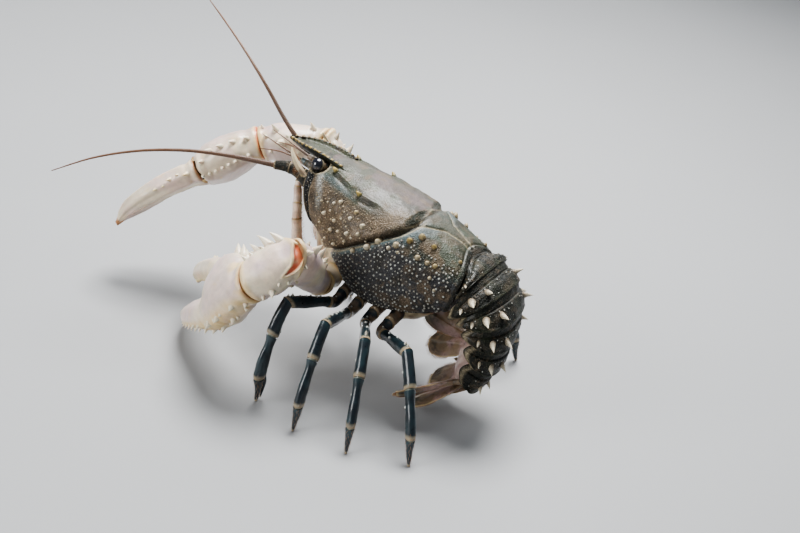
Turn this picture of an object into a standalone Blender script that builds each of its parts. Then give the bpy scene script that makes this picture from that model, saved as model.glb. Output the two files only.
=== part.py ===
"""A Murray crayfish, life size, standing on the floor with its tail tucked under.

Blender 4.5, metres, +Z up, +X towards the head, +Y the animal's left, floor at Z = 0.
Places on the body are written in the body frame, which is the carapace laid level:
x runs forward from the carapace's hind edge, y to the animal's left and z up from its lowest side margin.
world() tilts that frame head up and sets it over the floor.
"""

import math

import bmesh
import bpy
import numpy as np
from mathutils import Matrix, Vector

# Driving sizes
CARAPACE = 0.085  # from the eye socket to the carapace's hind edge
PITCH = math.radians(12.0)  # head up
BODY_AT = np.array([-0.0721, -0.0001, 0.0352])  # the body frame's origin over the floor
GAP = 0.0003  # between pieces that touch

# Carapace, each as (share of CARAPACE from the hind edge, metres)
TOP = ((0.00, 0.0376), (0.18, 0.0402), (0.45, 0.0436), (0.70, 0.0434), (0.88, 0.0420), (1.00, 0.0404))
HALF_WIDTH = ((0.00, 0.0205), (0.14, 0.0242), (0.42, 0.0266), (0.65, 0.0246), (0.84, 0.0200), (1.00, 0.0150))
WIDEST_Z = ((0.00, 0.0200), (0.42, 0.0190), (0.70, 0.0205), (1.00, 0.0250))
MARGIN_Z = (
    (0.00, 0.0160), (0.14, 0.0090), (0.36, 0.0016), (0.53, 0.0014), (0.68, 0.0062), (0.80, 0.0098),
    (1.00, 0.0130),
)
MARGIN_Y = ((0.00, 0.0172), (0.14, 0.0200), (0.42, 0.0215), (0.65, 0.0190), (0.84, 0.0150), (1.00, 0.0105))
FRONT_X = 0.0862
FRONT_FALL = 0.0125  # how far the front edge falls back at its foot
FRONT_DEPTH = 0.0305
REAR_NOTCH = 0.0078  # how far the hind edge is drawn forward on the mid line
REAR_NOTCH_HALF = 0.0135
SHELL_RIM = 0.0026  # thickness of the side margin
UNDER_RECESS = 0.0042  # the carapace's underside above its margin
BACK_SHARE = 0.68  # of a section's way from the mid line to the margin
SHELL_POWER = 2 / 2.25  # of the superellipse of the back
GROOVE = ((0.006, 0.0710), (0.010, 0.0660), (0.0176, 0.0550), (0.029, 0.0420), (0.039, 0.0315),
          (0.045, 0.0280))
GROOVE_DEPTH = 0.0016
GROOVE_HALF = 0.0022
GROOVE_FADE = 0.20  # the groove grows shallow from here up to the mid line
GROOVE_LEFT = 0.2  # share of its depth that is left there

# Rostrum, with its sizes at shares of its length
ROSTRUM_START = np.array([0.0640, 0.0, 0.0396])
ROSTRUM_TIP = np.array([0.1045, 0.0, 0.0376])
ROSTRUM_HALF = ((0.0, 0.0060), (0.3, 0.0076), (0.55, 0.0072), (0.8, 0.0052), (0.94, 0.0020), (1.0, 0.0006))
ROSTRUM_THICK = ((0.0, 0.0018), (0.3, 0.0036), (0.55, 0.0034), (0.8, 0.0025), (1.0, 0.0010))
ROSTRUM_RISE = ((0.0, -0.0006), (0.30, 0.0015), (0.6, 0.0018), (1.0, 0.0))
ROSTRUM_OUTLINE = (  # (share of the half width, share of the thickness), right to left over the top
    (-1, 0.35), (-0.72, 0.45), (0, 0.12), (0.72, 0.45), (1, 0.35), (0.9, -0.25), (0.45, -1.0), (-0.45, -1.0),
    (-0.9, -0.25),
)
ROSTRUM_SPINE_AT = (0.46, 0.565, 0.67, 0.775, 0.88)

# Abdomen, each somite: dorsal length, degrees below level, half width, depth of its plates, roll in front
SOMITES = (
    (0.0118, 8.0, 0.0205, 0.0125, 0.0),
    (0.0116, 20.0, 0.0222, 0.0215, 0.0),
    (0.0125, 48.0, 0.0220, 0.0205, 2.0),
    (0.0115, 76.0, 0.0212, 0.0200, 7.0),
    (0.0110, 95.0, 0.0200, 0.0190, 14.0),
    (0.0120, 112.0, 0.0182, 0.0170, 21.0),
)
ABDOMEN_AT = np.array([REAR_NOTCH - GAP, 0.0, TOP[0][1]])
BELLY_DEPTH = 0.0135  # of the belly below the back, at most
HIND_ARCH_DEPTH = 0.0116  # of the arch of the carapace's hind edge
FIRST_PLATE_DEPTH = 0.0038  # by which the first side plates hang lower in front
FIRST_BELLY_DEPTH = 0.0044
TELSON_LENGTH = 0.0270
TELSON_DIRECTION = 134.0
TAIL_ROLL = 27.0

# Claw arms: root, ischium joint, elbow, wrist and claw tip in the body frame
ARMS = {
    "left": (
        (0.0580, 0.0124, -0.0030), (0.0575, 0.0220, -0.0040), (0.0625, 0.0500, 0.0163),
        (0.0706, 0.0600, 0.0025),
        (0.1110, 0.0249, -0.0545),
    ),
    "right": (
        (0.0590, -0.0124, -0.0030), (0.0650, -0.0245, 0.0005), (0.1035, -0.0332, 0.0255),
        (0.1270, -0.0215, 0.0151),
        (0.1677, 0.0116, -0.0453),
    ),
}
THUMB_SIDES = {"left": (0.3196, -0.6683, 0.6716), "right": (-0.199, 0.909, 0.364)}
MERUS_HALVES = ((0.0054, 0.0048), (0.0076, 0.0058), (0.0096, 0.0068), (0.0078, 0.0064))
CARPUS_HALVES = ((0.0080, 0.0068), (0.0102, 0.0086), (0.0104, 0.0092), (0.0082, 0.0076))
PALM_LENGTH = 0.0300
PALM_HALVES = ((0.0082, 0.0074), (0.0124, 0.0090), (0.0160, 0.0102), (0.0158, 0.0094), (0.0138, 0.0074))
HORN_HALVES = ((0.0084, 0.0060), (0.0074, 0.0058), (0.0056, 0.0047), (0.0036, 0.0032), (0.0010, 0.0010))
FINGER_HALVES = ((0.0052, 0.0053), (0.0056, 0.0054), (0.0046, 0.0045), (0.0032, 0.0032), (0.0010, 0.0010))
FINGER_OPEN = {"left": math.radians(16.0), "right": math.radians(1.0)}

# Middle lines of palm, fixed finger and finger: share along, metres towards the thumb, metres upwards
PALM_LINE = (
    (0.0, 0.0, 0.0), (0.25, -0.0002, -0.0010), (0.55, -0.0006, -0.0018), (0.82, -0.0010, -0.0021),
    (1.0, -0.0012, -0.0021),
)
HORN_LINE = (
    (0.30, -0.0060, -0.0020), (0.45, -0.0084, -0.0033), (0.66, -0.0078, -0.0040), (0.86, -0.0046, -0.0027),
    (1.0, -0.0006, 0.0),
)
FINGER_LINE = (
    (0.0, 0.0082, -0.0021), (0.21, 0.0090, -0.0035), (0.52, 0.0076, -0.0042), (0.80, 0.0050, -0.0030),
    (0.975, 0.0018, -0.0003),
)

# Spines of the claw arms: place along, degrees round from the thumb's side or the bend, length
MERUS_SPINES = (
    (0.30, 180, 0.0020), (0.45, 178, 0.0029), (0.60, 182, 0.0037), (0.75, 172, 0.0044), (0.70, 20, 0.0026),
    (0.50, 15, 0.0022),
    (0.90, 150, 0.0030), (0.93, 110, 0.0026),
)
CARPUS_SPINES = {
    "left": ((0.33, 336, 0.0046), (0.15, 324, 0.0044), (0.58, 340, 0.0030), (0.65, 196, 0.0028),
             (0.86, 322, 0.0022)),
    "right": ((0.62, 0, 0.0044), (0.36, 8, 0.0050), (0.70, 40, 0.0034), (0.20, 60, 0.0030),
              (0.80, 180, 0.0032)),
}
INNER_SPINES = {
    "left": ((0.24, 350, 0.0030), (0.38, 347, 0.0034), (0.52, 343, 0.0034), (0.70, 352, 0.0030),
             (0.86, 8, 0.0028)),
    "right": ((0.14, 338, 0.0022), (0.32, 337, 0.0026), (0.50, 336, 0.0026), (0.68, 334, 0.0026),
              (0.86, 350, 0.0024)),
}
OUTER_SPINES = (
    (0.25, 194, 0.0024), (0.40, 168, 0.0027), (0.52, 194, 0.0027), (0.66, 168, 0.0029), (0.80, 192, 0.0029),
    (0.94, 170, 0.0027),
)
HORN_SPINES = ((0.22, 190, 0.0024), (0.36, 170, 0.0021), (0.50, 188, 0.0018))
FINGER_SPINES = ((0.10, 0, 0.0028), (0.26, 6, 0.0022), (0.42, 354, 0.0017))

# Walking legs: place of the root along the body, and of the foot over the floor from the body frame's origin
LEG_ROOT_X = (0.0470, 0.0388, 0.0306, 0.0224)
FEET = {
    "left": ((0.0580, 0.0610), (0.0340, 0.0700), (0.0090, 0.0690), (-0.0150, 0.0590)),
    "right": ((0.0780, 0.0560), (0.0510, 0.0700), (0.0200, 0.0700), (-0.0120, 0.0590)),
}
LEG_UPPER = 0.0310
LEG_LOWER = 0.0460
LEG_HALF_HEIGHT = 0.0029
LEG_HALF_THICK = 0.0021

# Sizes of a leg's sections, as shares of LEG_HALF_HEIGHT and LEG_HALF_THICK
UPPER_SECTIONS = ((1.15, 1.4), (1.0, 1.25), (0.92, 1.15), (0.80, 0.95), (0.98, 1.05), (0.92, 1.15))
LOWER_SECTIONS = (
    (0.92, 1.15), (0.98, 1.15), (0.96, 1.10), (0.78, 0.95), (0.90, 1.0), (0.74, 0.85), (0.50, 0.62),
    (0.26, 0.34),
)
PINCER_SECTIONS = ((0.0014, 0.0012), (0.0011, 0.0010), (0.0003, 0.0003))
PINCER_SWELL = 1.25  # of the two first pairs' lengths that carry a pincer

# Head
EYE_AT = np.array([0.0828, 0.0090, 0.0380])
EYE_RADIUS = 0.0029
SOCKET_RADIUS = 0.0043

# Long feelers: the stem's middle line, left side, beyond its foot on the face, and the bends of each whip
STEM_FOOT = (0.0104, 0.0282)
STEM = ((0.0890, 0.0104, 0.0302), (0.0950, 0.0112, 0.0304), (0.1012, 0.0132, 0.0284))
WHIPS = {
    "left": (
        (0.1180, 0.0205, 0.0250), (0.1360, 0.0300, 0.0200), (0.1520, 0.0400, 0.0130),
        (0.1660, 0.0500, 0.0040),
        (0.1780, 0.0600, -0.0070),
    ),
    "right": (
        (0.1140, -0.0120, 0.0360), (0.1300, -0.0115, 0.0470), (0.1480, -0.0150, 0.0550),
        (0.1660, -0.0220, 0.0590),
        (0.1830, -0.0330, 0.0590),
    ),
}
WHIP_HALVES = ((0.0013, 0.0013), (0.0010, 0.0010), (0.0008, 0.0008), (0.0006, 0.0006), (0.00045, 0.00045),
               (0.0002, 0.0002))

# Mouth leg, left side
MOUTH_LEG = (
    (0.0735, 0.0082, -0.0048), (0.0782, 0.0090, -0.0020), (0.0832, 0.0094, 0.0080), (0.0872, 0.0086, 0.0180),
    (0.0902, 0.0066, 0.0232), (0.0916, 0.0046, 0.0262),
)
MOUTH_LEG_HALVES = ((0.0026, 0.0020), (0.0030, 0.0022), (0.0028, 0.0020), (0.0024, 0.0017), (0.0018, 0.0014),
                    (0.0005, 0.0005))

SPINE_WIDTH = 0.30  # radius of a limb's spine as a share of its length, over SPINE_ROOT
SPINE_ROOT = 0.0005
LEG_SPINE_WIDTH = 0.5

COLOURS = {
    "shell": ((0.060, 0.062, 0.048, 1.0), 0.30),
    "ivory": ((0.820, 0.760, 0.690, 1.0), 0.38),
    "leg": ((0.020, 0.050, 0.062, 1.0), 0.30),
    "fan": ((0.130, 0.100, 0.060, 1.0), 0.35),
    "eye": ((0.012, 0.012, 0.020, 1.0), 0.08),
    "feeler": ((0.170, 0.085, 0.045, 1.0), 0.45),
    "mouth": ((0.560, 0.400, 0.270, 1.0), 0.45),
}


# Vectors and curves

def unit(v):
    v = np.asarray(v, float)
    return v / np.maximum(np.linalg.norm(v, axis=-1, keepdims=True), 1e-12)


def world(points):
    """Body frame to world: turned head up about Y by PITCH, then moved to BODY_AT."""
    p = np.asarray(points, float)
    c, s = math.cos(PITCH), math.sin(PITCH)
    turned = np.stack([p[..., 0] * c - p[..., 2] * s, p[..., 1], p[..., 0] * s + p[..., 2] * c], -1)
    return turned + BODY_AT


def world_direction(v):
    return world(v) - world(np.zeros(3))


def mirrored(point):
    return np.asarray(point, float) * np.array([1.0, -1.0, 1.0])


def curve(x, knots):
    """A smooth curve through (place, value) knots: cubic pieces with the mean of the neighbours' slopes."""
    k = np.asarray(knots, float)
    places, values = k[:, 0], k[:, 1:]
    slopes = np.gradient(values, places, axis=0)
    x = np.clip(np.asarray(x, float), places[0], places[-1])
    i = np.clip(np.searchsorted(places, x, side="right") - 1, 0, len(places) - 2)
    h = (places[i + 1] - places[i])[..., None]
    t = (x - places[i])[..., None] / h
    made = (
        values[i] * (1 + 2 * t) * (1 - t) ** 2
        + slopes[i] * h * t * (1 - t) ** 2
        + values[i + 1] * t * t * (3 - 2 * t)
        + slopes[i + 1] * h * t * t * (t - 1)
    )
    return made[..., 0] if made.shape[-1] == 1 else made


# Meshes, unions and cuts

def mesh_object(name, bm):
    """An object from a bmesh, with its faces turned outwards."""
    bmesh.ops.recalc_face_normals(bm, faces=bm.faces)
    if bm.calc_volume(signed=True) < 0:
        bmesh.ops.reverse_faces(bm, faces=bm.faces)
    mesh = bpy.data.meshes.new(name)
    bm.to_mesh(mesh)
    bm.free()
    made = bpy.data.objects.new(name, mesh)
    parts.objects.link(made)
    return made


def loft(name, rings, strips=False):
    """A closed solid skinned over rings of points, with a face on the first and the last ring.

    With strips, a ring starts on the mid line of the back, mirrors itself across it, and has hanging sides
    with the belly between them. Its end is then made of strips from side to side, so that it may curve.
    """
    rings = np.asarray(rings, float)
    sides = rings.shape[1]
    bm = bmesh.new()
    rows = [[bm.verts.new(p) for p in ring] for ring in rings]
    for a, b in zip(rows[:-1], rows[1:]):
        for i in range(sides):
            j = (i + 1) % sides
            bm.faces.new((a[i], a[j], b[j], b[i]))
    for row, ring in ((rows[0], rings[0]), (rows[-1], rings[-1])):
        if strips:
            strip_end(bm, row, ring)
        else:
            bm.faces.new(row)
    bmesh.ops.triangulate(bm, faces=[f for f in bm.faces if len(f.verts) > 4])
    return mesh_object(name, bm)


def strip_end(bm, row, ring):
    """Strips from the back down to the level of the belly, then one face on each hanging side."""
    sides = len(row)
    belly = sides // 2
    upward = ring[0] - (ring[belly] + ring[belly + 1]) / 2
    above = (ring[1:belly] - ring[belly]) @ upward > 1e-9
    last = int(np.argmin(above))
    bm.faces.new((row[0], row[1], row[-1]))
    for i in range(1, last):
        bm.faces.new((row[i], row[i + 1], row[sides - i - 1], row[sides - i]))
    bm.faces.new((row[last], row[belly], row[belly + 1], row[sides - last]))
    bm.faces.new(row[last:belly + 1])
    bm.faces.new(row[belly + 1:sides - last + 1])


def cone(at, direction, length, radius, sides=5, sunk=0.35):
    """A pointed spine whose root is sunk below the surface it stands on."""
    direction = Vector(unit(direction))
    depth = length * (1 + sunk)
    bm = bmesh.new()
    middle = Vector(at) + direction * (depth / 2 - length * sunk)
    turn = direction.to_track_quat("Z", "Y").to_matrix().to_4x4()
    bmesh.ops.create_cone(
        bm, cap_ends=True, segments=sides, radius1=radius, radius2=0.0,
        depth=depth, matrix=Matrix.Translation(middle) @ turn,
    )
    return mesh_object("spine", bm)


def ball(at, radius, segments=10, rings=6, stretch=(1.0, 1.0, 1.0)):
    bm = bmesh.new()
    turn = Matrix.Translation(Vector(at)) @ Matrix.Diagonal((*stretch, 1.0))
    bmesh.ops.create_uvsphere(bm, u_segments=segments, v_segments=rings, radius=radius, matrix=turn)
    return mesh_object("ball", bm)


def combine(main, pieces, operation):
    """One Boolean of the main object with a collection of closed pieces, applied. The pieces are removed."""
    if not pieces:
        return main
    group = bpy.data.collections.new("pieces")
    for piece in pieces:
        parts.objects.unlink(piece)
        group.objects.link(piece)
    bpy.context.scene.collection.children.link(group)
    boolean = main.modifiers.new("combine", "BOOLEAN")
    boolean.operation = operation
    boolean.operand_type = "COLLECTION"
    boolean.collection = group
    boolean.solver = "MANIFOLD"
    bpy.context.view_layer.update()
    evaluated = main.evaluated_get(bpy.context.evaluated_depsgraph_get())
    joined = bpy.data.meshes.new_from_object(evaluated)
    main.modifiers.clear()
    main.data = joined
    for piece in pieces:
        bpy.data.objects.remove(piece)
    bpy.data.collections.remove(group)
    return main


def keep_largest(obj):
    """Drops every closed surface of the object except its largest."""
    bm = bmesh.new()
    bm.from_mesh(obj.data)
    left = set(bm.faces)
    shells = []
    while left:
        shell, queue = set(), [left.pop()]
        while queue:
            face = queue.pop()
            shell.add(face)
            for edge in face.edges:
                for other in edge.link_faces:
                    if other in left:
                        left.remove(other)
                        queue.append(other)
        shells.append(shell)
    largest = max(shells, key=lambda faces: sum(f.calc_area() for f in faces))
    spare = [f for shell in shells if shell is not largest for f in shell]
    bmesh.ops.delete(bm, geom=spare, context="FACES")
    loose = [v for v in bm.verts if not v.link_faces]
    bmesh.ops.delete(bm, geom=loose, context="VERTS")
    bm.to_mesh(obj.data)
    bm.free()


def floor_block():
    """A block whose top is the floor, which cuts flats on what rests there."""
    bm = bmesh.new()
    bmesh.ops.create_cube(bm, size=0.5, matrix=Matrix.Translation((0.0, 0.0, -0.25)))
    return mesh_object("floor", bm)


def finish_node(obj, name, material, root, spines=(), cutters=()):
    """Joins the spines, makes the cuts, names the node and puts its origin at its root."""
    combine(obj, list(spines), "UNION")
    combine(obj, list(cutters), "DIFFERENCE")
    keep_largest(obj)
    root = Vector(root)
    obj.data.transform(Matrix.Translation(-root))
    obj.location = root
    obj.name = name
    obj.data.name = name
    obj.data.materials.clear()
    obj.data.materials.append(materials[material])
    obj.data.shade_smooth()
    obj.data.set_sharp_from_angle(angle=math.radians(40.0))
    obj.parent = animal
    return obj


# A limb segment

class Tube:
    """A tube of elliptical section along a smooth path in the world.

    path holds the points of the middle line. halves holds, for each of them, the half size along `wide`
    and across it. Each end is a flat face in the plane of a given normal: near an end, each point slides
    along the path by a growing share of the way to that plane.
    """

    def __init__(self, path, halves, wide, start=None, end=None, start_gap=GAP / 2, end_gap=GAP / 2):
        self.path = np.asarray(path, float)
        self.halves = np.asarray(halves, float)
        steps = np.linalg.norm(np.diff(self.path, axis=0), axis=1)
        self.places = np.concatenate([[0.0], np.cumsum(steps)])
        self.places /= self.places[-1]
        self.length = steps.sum()
        self.wide = unit(wide)
        first, last = self.tangent(np.array([0.0]))[0], self.tangent(np.array([1.0]))[0]
        self.start = first if start is None else unit(start)
        self.end = last if end is None else unit(end)
        self.start_shift = start_gap / max(abs(first @ self.start), 0.3)
        self.end_shift = end_gap / max(abs(last @ self.end), 0.3)

    def middle(self, t):
        return curve(t, np.column_stack([self.places, self.path]))

    def tangent(self, t):
        h = 1e-3
        return unit(self.middle(np.minimum(t + h, 1.0)) - self.middle(np.maximum(t - h, 0.0)))

    def frame(self, t):
        tangent = self.tangent(t)
        wide = unit(self.wide - tangent * (tangent @ self.wide)[..., None])
        return tangent, wide, np.cross(tangent, wide)

    def at(self, t, angle):
        """Surface points, where angle 0 is along `wide`."""
        t = np.asarray(t, float)
        tangent, wide, across = self.frame(t)
        halves = curve(t, np.column_stack([self.places, self.halves]))
        radial = (
            wide * (halves[..., :1] * np.cos(angle)[..., None])
            + across * (halves[..., 1:] * np.sin(angle)[..., None])
        )
        near_start = np.clip(1 - t / 0.5, 0, 1)[..., None]
        near_end = np.clip((t - 0.5) / 0.5, 0, 1)[..., None]
        slide = (
            near_start * (self.start_shift
                          - (radial @ self.start)[..., None] / (tangent @ self.start)[..., None])
            - near_end * (self.end_shift + (radial @ self.end)[..., None] / (tangent @ self.end)[..., None])
        )
        return self.middle(t) + radial + tangent * slide

    def normal(self, t, angle):
        t = np.asarray(t, float)
        _, wide, across = self.frame(t)
        halves = curve(t, np.column_stack([self.places, self.halves]))
        return unit(
            wide * (np.cos(angle)[..., None] / halves[..., :1])
            + across * (np.sin(angle)[..., None] / halves[..., 1:])
        )

    def solid(self, name, rings, sides):
        t, angle = np.meshgrid(np.linspace(0, 1, rings), np.arange(sides) * 2 * math.pi / sides,
                               indexing="ij")
        return loft(name, self.at(t.ravel(), angle.ravel()).reshape(rings, sides, 3))

    def spines(self, places, lean, sides=5, width=SPINE_WIDTH, root=SPINE_ROOT):
        """Cones at (t, angle in degrees, length), leaning forward along the tube."""
        made = []
        for t, degrees, length in places:
            at = np.array([t]), np.array([math.radians(degrees)])
            point, normal = self.at(*at)[0], self.normal(*at)[0]
            direction = normal + self.tangent(np.array([t]))[0] * lean
            made.append(cone(point, direction, length, width * length + root, sides))
        return made


# Carapace

def cervical_groove_x(z):
    return curve(z, GROOVE)


def carapace_section(x):
    """Sizes of the section at x: top, half width, height of the widest place, margin height and margin y."""
    s = np.asarray(x, float) / CARAPACE
    return (curve(s, TOP), curve(s, HALF_WIDTH), curve(s, WIDEST_Z), curve(s, MARGIN_Z), curve(s, MARGIN_Y))


def carapace_outside(x, v):
    """Point of the shell at station x. v runs from 0 on the mid line of the back to 1 on the side margin.

    The upper part is a quarter of a superellipse from the top to the widest place, and the lower part a
    quarter of an ellipse from there in to the margin. The cervical groove is pressed in by a bell curve.
    """
    x, v = np.broadcast_arrays(np.asarray(x, float), np.asarray(v, float))
    top, half, widest, margin_z, margin_y = carapace_section(x)
    up = np.clip(v / BACK_SHARE, 0, 1) * math.pi / 2
    down = np.clip((v - BACK_SHARE) / (1 - BACK_SHARE), 0, 1) * math.pi / 2
    on_back = v < BACK_SHARE
    y = np.where(on_back, half * np.sin(up) ** SHELL_POWER, margin_y + (half - margin_y) * np.cos(down))
    back_z = widest + (top - widest) * np.cos(up) ** SHELL_POWER
    z = np.where(on_back, back_z, widest - (widest - margin_z) * np.sin(down))
    fade = np.clip(v / GROOVE_FADE, GROOVE_LEFT, 1)
    press = GROOVE_DEPTH * fade * np.exp(-(((x - cervical_groove_x(z)) / GROOVE_HALF) ** 2))
    inward = unit(np.stack([np.zeros_like(y), -y / half**2, -(z - widest) / (top - widest) ** 2], -1))
    point = np.stack([x, y, z], -1) + inward * press[..., None]
    share = np.clip((x / CARAPACE - 0.45) / 0.55, 0, 1) ** 2
    point[..., 0] -= share * FRONT_FALL * ((top - point[..., 2]) / FRONT_DEPTH) ** 2
    point[..., 0] += rear_notch(y) * np.clip(1 - x / 0.034, 0, 1) ** 2
    return point


def rear_notch(y):
    return REAR_NOTCH * np.exp(-((y / REAR_NOTCH_HALF) ** 2))


def face_x(z):
    """The front face of the carapace at height z."""
    return FRONT_X - FRONT_FALL * ((0.0404 - z) / FRONT_DEPTH) ** 2


def face_normal(z):
    return world_direction(unit((1.0, 0.0, -2 * FRONT_FALL * (0.0404 - z) / FRONT_DEPTH**2)))


def carapace_normal(x, v):
    h = 1e-4
    along = carapace_outside(x + h, v) - carapace_outside(x - h, v)
    down = carapace_outside(x, min(v + h * 20, 1.0)) - carapace_outside(x, max(v - h * 20, 0.0))
    return unit(np.cross(along, down)) * -1.0


def carapace_spine(x, v, side, length, radius, lean=(0.0, 0.0, 0.0), sides=5):
    point = carapace_outside(x, v)
    normal = carapace_normal(x, v)
    if normal[1] < -1e-9 or (abs(normal[1]) < 1e-9 and normal[2] < 0):
        normal = -normal
    direction = unit(normal) + np.asarray(lean)
    if side < 0:
        point, direction = mirrored(point), mirrored(direction)
    return cone(world(point), world_direction(direction), length, radius, sides)


def rostrum():
    """A flat spike with raised sides, widest where it leaves the carapace and pointed in front."""
    stations = np.array([0.0, 0.30, 0.50, 0.68, 0.83, 0.94, 1.0])
    half, thick, rise = (curve(stations, knots) for knots in (ROSTRUM_HALF, ROSTRUM_THICK, ROSTRUM_RISE))
    rings = []
    for s, w, h, lift in zip(stations, half, thick, rise):
        mid = ROSTRUM_START + (ROSTRUM_TIP - ROSTRUM_START) * s + np.array([0.0, 0.0, lift])
        rings.append([mid + np.array([0.0, y * w, z * h]) for y, z in ROSTRUM_OUTLINE])
    return loft("rostrum", world(np.array(rings)))


def carapace():
    """The shield over head and thorax, in one piece with the rostrum and its spines."""
    stations = np.concatenate([np.linspace(0.0, 0.024, 6), np.linspace(0.0275, FRONT_X, 20)])
    outside_v = np.concatenate([np.linspace(0.0, BACK_SHARE, 11), np.linspace(0.76, 1.0, 4)])
    rings = []
    for x in stations:
        left = carapace_outside(x, outside_v)
        edge = left[-1]
        inner = edge + np.array([0.0, -SHELL_RIM, 0.0008])
        roof = edge + np.array([0.0, -SHELL_RIM * 1.5, UNDER_RECESS])
        half_ring = np.vstack([left, inner, roof])
        rings.append(np.vstack([half_ring, mirrored(half_ring[1:])[::-1]]))
    body = loft("carapace", world(np.array(rings)), strips=True)
    extra = [rostrum()]
    for side in (1, -1):
        for s in ROSTRUM_SPINE_AT:
            half = float(curve(s, ROSTRUM_HALF))
            at = ROSTRUM_START + (ROSTRUM_TIP - ROSTRUM_START) * s + np.array([0.0, half * 0.92, 0.0022])
            extra.append(cone(*rostrum_spine_frame(at, side), 0.0020, 0.0009, 4))
        for x, v, length in BROW_SPINES:
            extra.append(carapace_spine(x, v, side, length, length * 0.46, lean=(0.9, 0.0, 0.2)))
        for x, v, size in CHEEK_KNOBS:
            extra.append(carapace_spine(x, v, side, size, size * 0.85, sides=5))
        for x, v, size in CERVICAL_SPINES:
            extra.append(carapace_spine(x, v, side, size, size * 0.62, lean=(0.5, 0.0, 0.2)))
    sockets = [ball(world(EYE_AT * np.array([1, side, 1])), SOCKET_RADIUS, 14, 8) for side in (1, -1)]
    return finish_node(body, "carapace", "shell", world((0.0, 0.0, 0.0)), extra, sockets)


def rostrum_spine_frame(at, side):
    direction = np.array([0.75, 0.70, 0.30])
    if side < 0:
        at, direction = mirrored(at), mirrored(direction)
    return world(at), world_direction(direction)


# Spines of the ridges behind the eye, large knobs of the cheek, spines behind the groove: x, v, size
BROW_SPINES = ((0.0745, 0.218, 0.0028), (0.0585, 0.283, 0.0028))
CHEEK_KNOBS = (
    (0.0550, 0.419, 0.0016), (0.0560, 0.489, 0.0015), (0.0488, 0.476, 0.0018), (0.0540, 0.596, 0.0017),
    (0.0488, 0.544, 0.0016), (0.0639, 0.436, 0.0015), (0.0668, 0.486, 0.0013), (0.0698, 0.619, 0.0017),
    (0.0631, 0.596, 0.0014), (0.0590, 0.634, 0.0014), (0.0637, 0.672, 0.0015), (0.0722, 0.717, 0.0013),
)
CERVICAL_SPINES = (
    (0.0398, 0.500, 0.0022), (0.0428, 0.582, 0.0020), (0.0322, 0.440, 0.0020), (0.0285, 0.350, 0.0019),
    (0.0253, 0.262, 0.0020), (0.0186, 0.268, 0.0017), (0.0218, 0.424, 0.0017), (0.0136, 0.406, 0.0016),
)


# Breast: x, half width, lowest z
BREAST = (
    (0.0100, 0.0070, 0.0030), (0.0170, 0.0115, -0.0050), (0.0300, 0.0120, -0.0068), (0.0430, 0.0120, -0.0068),
    (0.0600, 0.0120, -0.0068), (0.0700, 0.0085, -0.0030), (0.0745, 0.0060, 0.0030),
)


def thorax_underside():
    """The plate of the breast between the legs, set into the carapace's underside."""
    rings = []
    for x, half, low in BREAST:
        ceiling = min(float(carapace_section(x + shift)[3]) for shift in np.linspace(-0.006, 0.012, 7))
        ceiling += UNDER_RECESS - GAP
        rings.append([(x, half, ceiling), (x, half, low + 0.003), (x, half * 0.45, low),
                      (x, -half * 0.45, low), (x, -half, low + 0.003), (x, -half, ceiling)])
    plate = loft("thorax_underside", world(np.array(rings)))
    return finish_node(plate, "thorax_underside", "mouth", world((0.040, 0.0, 0.0)))


# Abdomen

def way_back(degrees):
    """The direction that many degrees below level, and the one towards the belly across it."""
    a = math.radians(degrees)
    return np.array([-math.cos(a), 0.0, -math.sin(a)]), np.array([math.sin(a), 0.0, -math.cos(a)])


def abdomen_line():
    """Dorsal points of the joints, the ways along and inwards of each length, and the roll at each joint."""
    points, ways, rolls = [ABDOMEN_AT], [], []
    for length, degrees, _, _, roll in SOMITES:
        ways.append(way_back(degrees))
        rolls.append(math.radians(roll))
        points.append(points[-1] + ways[-1][0] * length)
    ways.append(way_back(TELSON_DIRECTION))
    rolls.append(math.radians(TAIL_ROLL))
    return points, ways, rolls


def somite_point(index, t, y, depth):
    """Point of a somite at share t of its length, y to the left of its mid line and depth below its back."""
    points, ways, rolls = abdomen_line()
    t, y, depth = (np.asarray(a, float)[..., None] for a in (t, y, depth))
    along, inward = ways[index]
    behind = ways[index + 1][0]
    ahead = ways[max(index - 1, 0)][0]
    roll = rolls[index] + (rolls[index + 1] - rolls[index]) * t
    side = np.array([0.0, 1.0, 0.0])
    radial = side * (y * np.cos(roll) + depth * np.sin(roll))
    radial += inward * (depth * np.cos(roll) - y * np.sin(roll))
    start, end = unit(ahead + along), unit(along + behind)
    point = points[index] + along * (SOMITES[index][0] * t) + radial
    to_start = GAP / 2 - (radial @ start)[..., None] / (along @ start)
    to_end = -GAP / 2 - (radial @ end)[..., None] / (along @ end)
    if index == 0:
        outline_y = np.where(depth < HIND_ARCH_DEPTH, y, SOMITES[0][2])
        front = np.concatenate([rear_notch(outline_y) - GAP, y, points[0][2] - depth], -1)
        back = points[1] + radial + along * to_end
        return front + (back - front) * t
    return point + along * (np.clip(1 - t, 0, 1) * to_start + np.clip(t, 0, 1) * to_end)


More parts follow.
